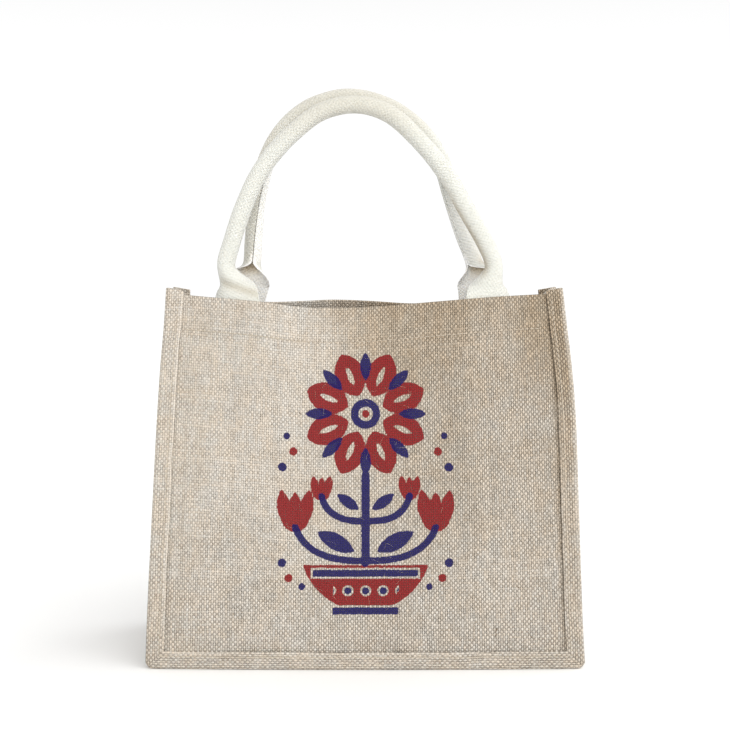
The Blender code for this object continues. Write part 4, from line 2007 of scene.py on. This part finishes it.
@dataclass
class Sewing:
    """Rows of stitches in thread of the cloth's own colour.

    Attributes:
        length: Length of a stitch.
        gap: Gap between two stitches.
        radius: Radius of the thread.
        dive: How high a stitch stands at its middle, and how fast its ends go in, in radii.
        taper: Radius at a stitch's points, as shares.
        hem_span: The hems' seams, from left to right.
        hem_points: Points on them.
        strip_seam: Distance of the strips' seams from their inner folds.
    """

    length: float = 3.9 * MM
    gap: float = 1.1 * MM
    radius: float = 0.42 * MM
    dive: Pair = (1.1, 25.6)
    taper: Row = (0.7, 1.0, 1.0, 1.0, 1.0, 0.7)
    hem_span: Pair = (-0.168, 0.166)
    hem_points: int = 170
    strip_seam: float = 4.2 * MM

    def row(self, points: Array, lifts: Array) -> tuple[Array, Array]:
        """Stitches along a line on a surface.

        Args:
            points: The line.
            lifts: Direction out of the surface at each point.

        Returns:
            The stitches' paths and a direction square to each.
        """
        run = lengths_along(points)
        pitch = self.length + self.gap
        count = int(run[-1] / pitch)
        centre = (np.arange(count) + 0.5) * pitch
        step = np.linspace(-0.5, 0.5, len(self.taper))
        at = centre[:, None] + step[None, :] * self.length
        place = np.stack([np.interp(at, run, points[:, k]) for k in range(3)], -1)
        lift = unit(np.stack([np.interp(at, run, lifts[:, k]) for k in range(3)], -1))
        arch = self.radius * (self.dive[0] - self.dive[1] * step**4)
        paths = place + lift * arch[None, :, None]
        return paths, lift[:, 3]

    def hem_line(self, face: Face, inside: bool) -> tuple[Array, Array]:
        """The line that holds a hem.

        Args:
            face: Which panel it is on.
            inside: Whether it is on the panel's inside.

        Returns:
            Points, and the way out of the cloth at each.
        """
        x = np.linspace(*self.hem_span, self.hem_points)
        z = FORM.rims[face].at(x) - FORM.hem_height + FORM.hem_seam
        out = PANELS[face].surface(x, z)
        if inside:
            out = out - FORM.hem
        ahead = face.value * (-1.0 if inside else 1.0)
        lift = np.stack([0 * x, 0 * x + ahead, 0 * x], -1)
        return np.stack([x, face.value * out, z], -1), lift

    def strip_line(self, gusset: Gusset, way: int) -> tuple[Array, Array]:
        """The line that holds the strips to a panel.

        Args:
            gusset: The band that they belong to.
            way: -1 for the front, 1 for the back.

        Returns:
            Points, and the way out of the cloth at each.
        """
        distance = np.full((len(gusset.outer), 1), FORM.strip_width - self.strip_seam)
        spot = gusset.place(distance, 0.0)[:, 0]
        outer = gusset.strip(way)[0]
        apart = np.linalg.norm(outer[..., [0, 2]] - spot[:, None, [0, 2]], axis=-1)
        spot[:, 1] = outer[np.arange(len(outer)), apart.argmin(axis=1), 1]
        keep = gusset.from_top > 4 * MM
        lift = np.zeros(spot.shape)
        lift[:, 1] = way
        return spot[keep], lift[keep]

    def build(self, gusset: Gusset) -> None:
        """Makes all the rows as one piece.

        Args:
            gusset: The band, when it has been built.
        """
        lines = [self.hem_line(face, inside) for face in Face for inside in (False, True)]
        lines += [self.strip_line(gusset, way) for way in (-1, 1)]
        rows = [self.row(*line) for line in lines]
        paths = np.concatenate([row[0] for row in rows])
        beside = np.concatenate([row[1] for row in rows])
        radii = np.broadcast_to(self.radius * np.array(self.taper), paths.shape[:2])
        finish = ThreadFinish("sewing_thread", (0.56, 0.49, 0.40), (0.42, 0.36, 0.28)).make()
        piece = tube_bundle("seam_stitches", paths, radii, beside, finish)
        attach(piece, "root")


@dataclass
class BarkSpecks:
    """A few dark bits of bark that lie in the front panel's cloth.

    Attributes:
        spots: Place across and height of both ends of each, in millimetres.
        radius: Half their thickness.
        shape: Radius along one, as shares.
    """

    spots: tuple[tuple[float, float, float, float], ...] = (
        (120.5, 38.5, 119.0, 33.5), (119.6, 33.0, 118.6, 30.0), (139.0, 74.8, 141.2, 74.0),
        (151.0, 30.4, 152.6, 28.6), (-121.0, 51.0, -118.5, 50.6), (-60.4, 233.0, -59.0, 231.4))
    radius: float = 0.45 * MM
    shape: Row = (0.4, 0.9, 1.0, 0.8, 0.3)

    def build(self) -> None:
        """Makes them as one piece."""
        ends = np.array(self.spots) * MM
        part = np.linspace(0.0, 1.0, len(self.shape))[None, :]
        x = mix(ends[:, :1], ends[:, 2:3], part)
        z = mix(ends[:, 1:2], ends[:, 3:], part)
        y = -PANELS[Face.FRONT].surface(x, z) - 0.1 * MM
        paths = np.stack([x, y, z], -1)
        radii = self.radius * np.broadcast_to(self.shape, x.shape)
        beside = np.tile([0.0, -1.0, 0.0], (len(ends), 1))
        finish = ThreadFinish("bark", (0.22, 0.16, 0.10), (0.10, 0.07, 0.045)).make()
        piece = tube_bundle("bark_specks", paths, radii, beside, finish, sides=5)
        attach(piece, "root")


@dataclass
class LooseFibres:
    """Short jute fibres that stand off the cloth.

    Attributes:
        count: Number of fibres.
        seed: Seed of their places and shapes.
        steps: Points on one.
        half_width: How far from the middle they lie at most.
        heights: How low and how high they lie.
        lengths: How short and how long they are, in millimetres.
        radii: How thin and how thick they are, in millimetres.
        curl: How much they bend at most, as a share of their length.
        lift: How far they stand off the cloth, as shares of their length.
    """

    count: int = 520
    seed: int = 11
    steps: int = 7
    half_width: float = 0.170
    heights: Pair = (0.022, 0.330)
    lengths: Pair = (3, 9)
    radii: Pair = (0.05, 0.09)
    curl: float = 0.35
    lift: Pair = (0.05, 0.22)

    def build(self) -> None:
        """Makes the fibres on the panels as one piece."""
        dice = np.random.default_rng(self.seed)
        x = dice.uniform(-self.half_width, self.half_width, self.count)
        z = dice.uniform(*self.heights, self.count)
        faces = [Face.FRONT if k % 3 else Face.BACK for k in range(self.count)]
        starts, aways = [], []
        for face in Face:
            mine = np.array([f is face for f in faces])
            top = FORM.rims[face].at(x[mine]) - 3 * MM
            height = np.minimum(z[mine], top)
            out = PANELS[face].surface(x[mine], height)
            starts.append(np.stack([x[mine], face.value * (out - 0.1 * MM), height], -1))
            aways.append(np.tile([0.0, float(face.value), 0.0], (int(mine.sum()), 1)))
        start, away = np.concatenate(starts), np.concatenate(aways)
        turn = dice.uniform(0, math.tau, len(start))
        length = dice.uniform(*self.lengths, len(start)) * MM
        ahead = np.stack([np.cos(turn), 0 * turn, np.sin(turn)], -1)
        side = np.cross(ahead, away)
        curl = dice.uniform(-self.curl, self.curl, len(start))
        t = np.linspace(0.0, 1.0, self.steps)
        lift = dice.uniform(*self.lift, len(start))
        paths = start[:, None, :] + length[:, None, None] * (
            ahead[:, None, :] * t[None, :, None]
            + side[:, None, :] * (curl[:, None] * t[None, :] ** 2)[..., None]
            + away[:, None, :] * (lift[:, None] * np.sin(t * 2.6)[None, :])[..., None])
        radii = dice.uniform(*self.radii, (len(start), 1)) * MM * (1 - 0.6 * t[None, :])
        finish = ThreadFinish("jute_fibre", (0.74, 0.66, 0.52), (0.52, 0.42, 0.28)).make()
        piece = tube_bundle("loose_fibres", paths, radii, away, finish, sides=3)
        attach(piece, "root")


# ---- studio


@dataclass(frozen=True)
class Sun:
    """A broad light from far away.

    Attributes:
        name: Name of the light.
        strength: Its strength.
        tilt: Degrees down from overhead.
        turn: Degrees round from the front, below 0 to the left.
        spread: Its width as seen from the bag, in degrees.
    """

    name: str
    strength: float
    tilt: float
    turn: float
    spread: float


@dataclass
class Studio:
    """A pale floor, soft light from the upper right, and the photograph's camera.

    Attributes:
        eye: The camera's place.
        pitch: Degrees that it looks up.
        lens: Its focal length in millimetres.
        shift: How far its picture is shifted up, as a share.
        suns: The broad lights.
        lamp: Their colour.
        sky: Brightness of the sky overhead.
        horizon: Its brightness at the horizon.
        haze: Between which heights it changes, 1 being straight up.
        floor_radius: The floor's radius in metres.
        floor_sides: Number of the floor's sides.
    """

    eye: Triple = (0.0, -1.28, 0.37)
    pitch: float = -2.2
    lens: float = 65.65
    shift: float = -0.0694
    suns: tuple[Sun, ...] = (
        Sun("key", 1.3, 50.0, 26.0, 60.0), Sun("side", 1.15, 60.0, 92.0, 75.0),
        Sun("fill", 1.3, 83.0, 0.0, 40.0))
    lamp: Colour = (1.0, 0.99, 0.975)
    sky: float = 0.67
    horizon: float = 1.04
    haze: Pair = (0.10, 0.45)
    floor_radius: float = 7.0
    floor_sides: int = 96

    def floor(self) -> None:
        """Lays a wide round floor."""
        radius = self.floor_radius
        turn = math.tau * np.arange(self.floor_sides) / self.floor_sides
        rim = [(radius * math.cos(t), radius * math.sin(t), 0.0) for t in turn]
        mesh = bpy.data.meshes.new("floor")
        mesh.from_pydata(rim, [], [list(range(self.floor_sides))])
        floor = link("floor", mesh, FloorFinish("floor_paper").make())
        floor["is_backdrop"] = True

    def light(self) -> None:
        """Hangs the broad lights and a sky that is brightest at the horizon."""
        for sun in self.suns:
            lamp = bpy.data.lights.new(sun.name, "SUN")
            lamp.energy = sun.strength
            lamp.angle = math.radians(sun.spread)
            lamp.color = self.lamp
            light = bpy.data.objects.new(sun.name, lamp)
            light.rotation_euler = (math.radians(sun.tilt), 0.0, math.radians(sun.turn))
            bpy.context.collection.objects.link(light)
        world = bpy.data.worlds.new("studio")
        bpy.context.scene.world = world
        world.use_nodes = True
        tree = world.node_tree
        back = tree.nodes["Background"]
        coords = tree.nodes.new("ShaderNodeTexCoord")
        parts = tree.nodes.new("ShaderNodeSeparateXYZ")
        ramp = tree.nodes.new("ShaderNodeMapRange")
        ramp.interpolation_type = "SMOOTHSTEP"
        tree.links.new(coords.outputs["Generated"], parts.inputs[0])
        tree.links.new(parts.outputs["Z"], ramp.inputs["Value"])
        for name, value in (("From Min", self.haze[0]), ("From Max", self.haze[1]),
                            ("To Min", self.horizon), ("To Max", self.sky)):
            ramp.inputs[name].default_value = value
        tree.links.new(ramp.outputs["Result"], back.inputs["Strength"])
        back.inputs["Color"].default_value = (1.0, 1.0, 1.0, 1.0)

    def camera(self) -> None:
        """Sets the camera where the photograph was taken."""
        data = bpy.data.cameras.new("camera")
        data.sensor_width = 36.0
        data.lens = self.lens
        data.shift_y = self.shift
        camera = bpy.data.objects.new("camera", data)
        camera.location = self.eye
        camera.rotation_euler = (math.radians(90.0 + self.pitch), 0.0, 0.0)
        bpy.context.collection.objects.link(camera)
        bpy.context.scene.camera = camera

    def build(self) -> None:
        """Makes the whole studio."""
        self.floor()
        self.light()
        self.camera()
        bpy.context.scene.view_settings.view_transform = "Standard"


PANELS = {
    Face.FRONT: Panel(Face.FRONT, printed=True),
    Face.BACK: Panel(Face.BACK, step=2.8 * MM, seed=15),
}

HANDLES = (
    Handle(Face.FRONT, (
        (-119, 290), (-119, 312), (-119.5, 332), (-125, 350), (-131.5, 368), (-126, 390),
        (-115, 423), (-99, 457), (-74, 488), (-42, 513), (-8, 520), (24, 510.5), (55, 482),
        (79, 451), (98, 417), (114, 389), (122, 368), (118.5, 350), (115.5, 332),
        (115.5, 312), (115.5, 290)), roll_start=332 * MM, roll_end=368 * MM, tuck=True),
    Handle(Face.BACK, (
        (-121, 290), (-121, 312), (-120, 332), (-115, 350), (-110.5, 368), (-108, 402),
        (-103.5, 438), (-94, 473), (-78, 500), (-52, 521), (-16, 530), (20, 522), (50, 502),
        (72, 473), (83, 438), (93, 407), (103, 381), (108.5, 364), (112, 348), (113.5, 332),
        (113.5, 312), (113.5, 290)), roll_start=350 * MM, roll_end=372 * MM,
        turns=(4.0, 24.0, 38.0, 62.0)),
)


def plain_box() -> list[list[float]]:
    """The object's box as plain lists."""
    return [[float(value) for value in corner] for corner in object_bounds()]


def main() -> None:
    """Builds every piece, then the studio, and logs the box round the shown pieces."""
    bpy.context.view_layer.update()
    for panel in PANELS.values():
        panel.build()
    gusset = Gusset()
    gusset.build()
    for handle in HANDLES:
        handle.build()
    Sewing().build(gusset)
    LooseFibres().build()
    BarkSpecks().build()
    Studio().build()
    LOG.info("visual %s", plain_box())


if __name__ == "__main__":
    main()
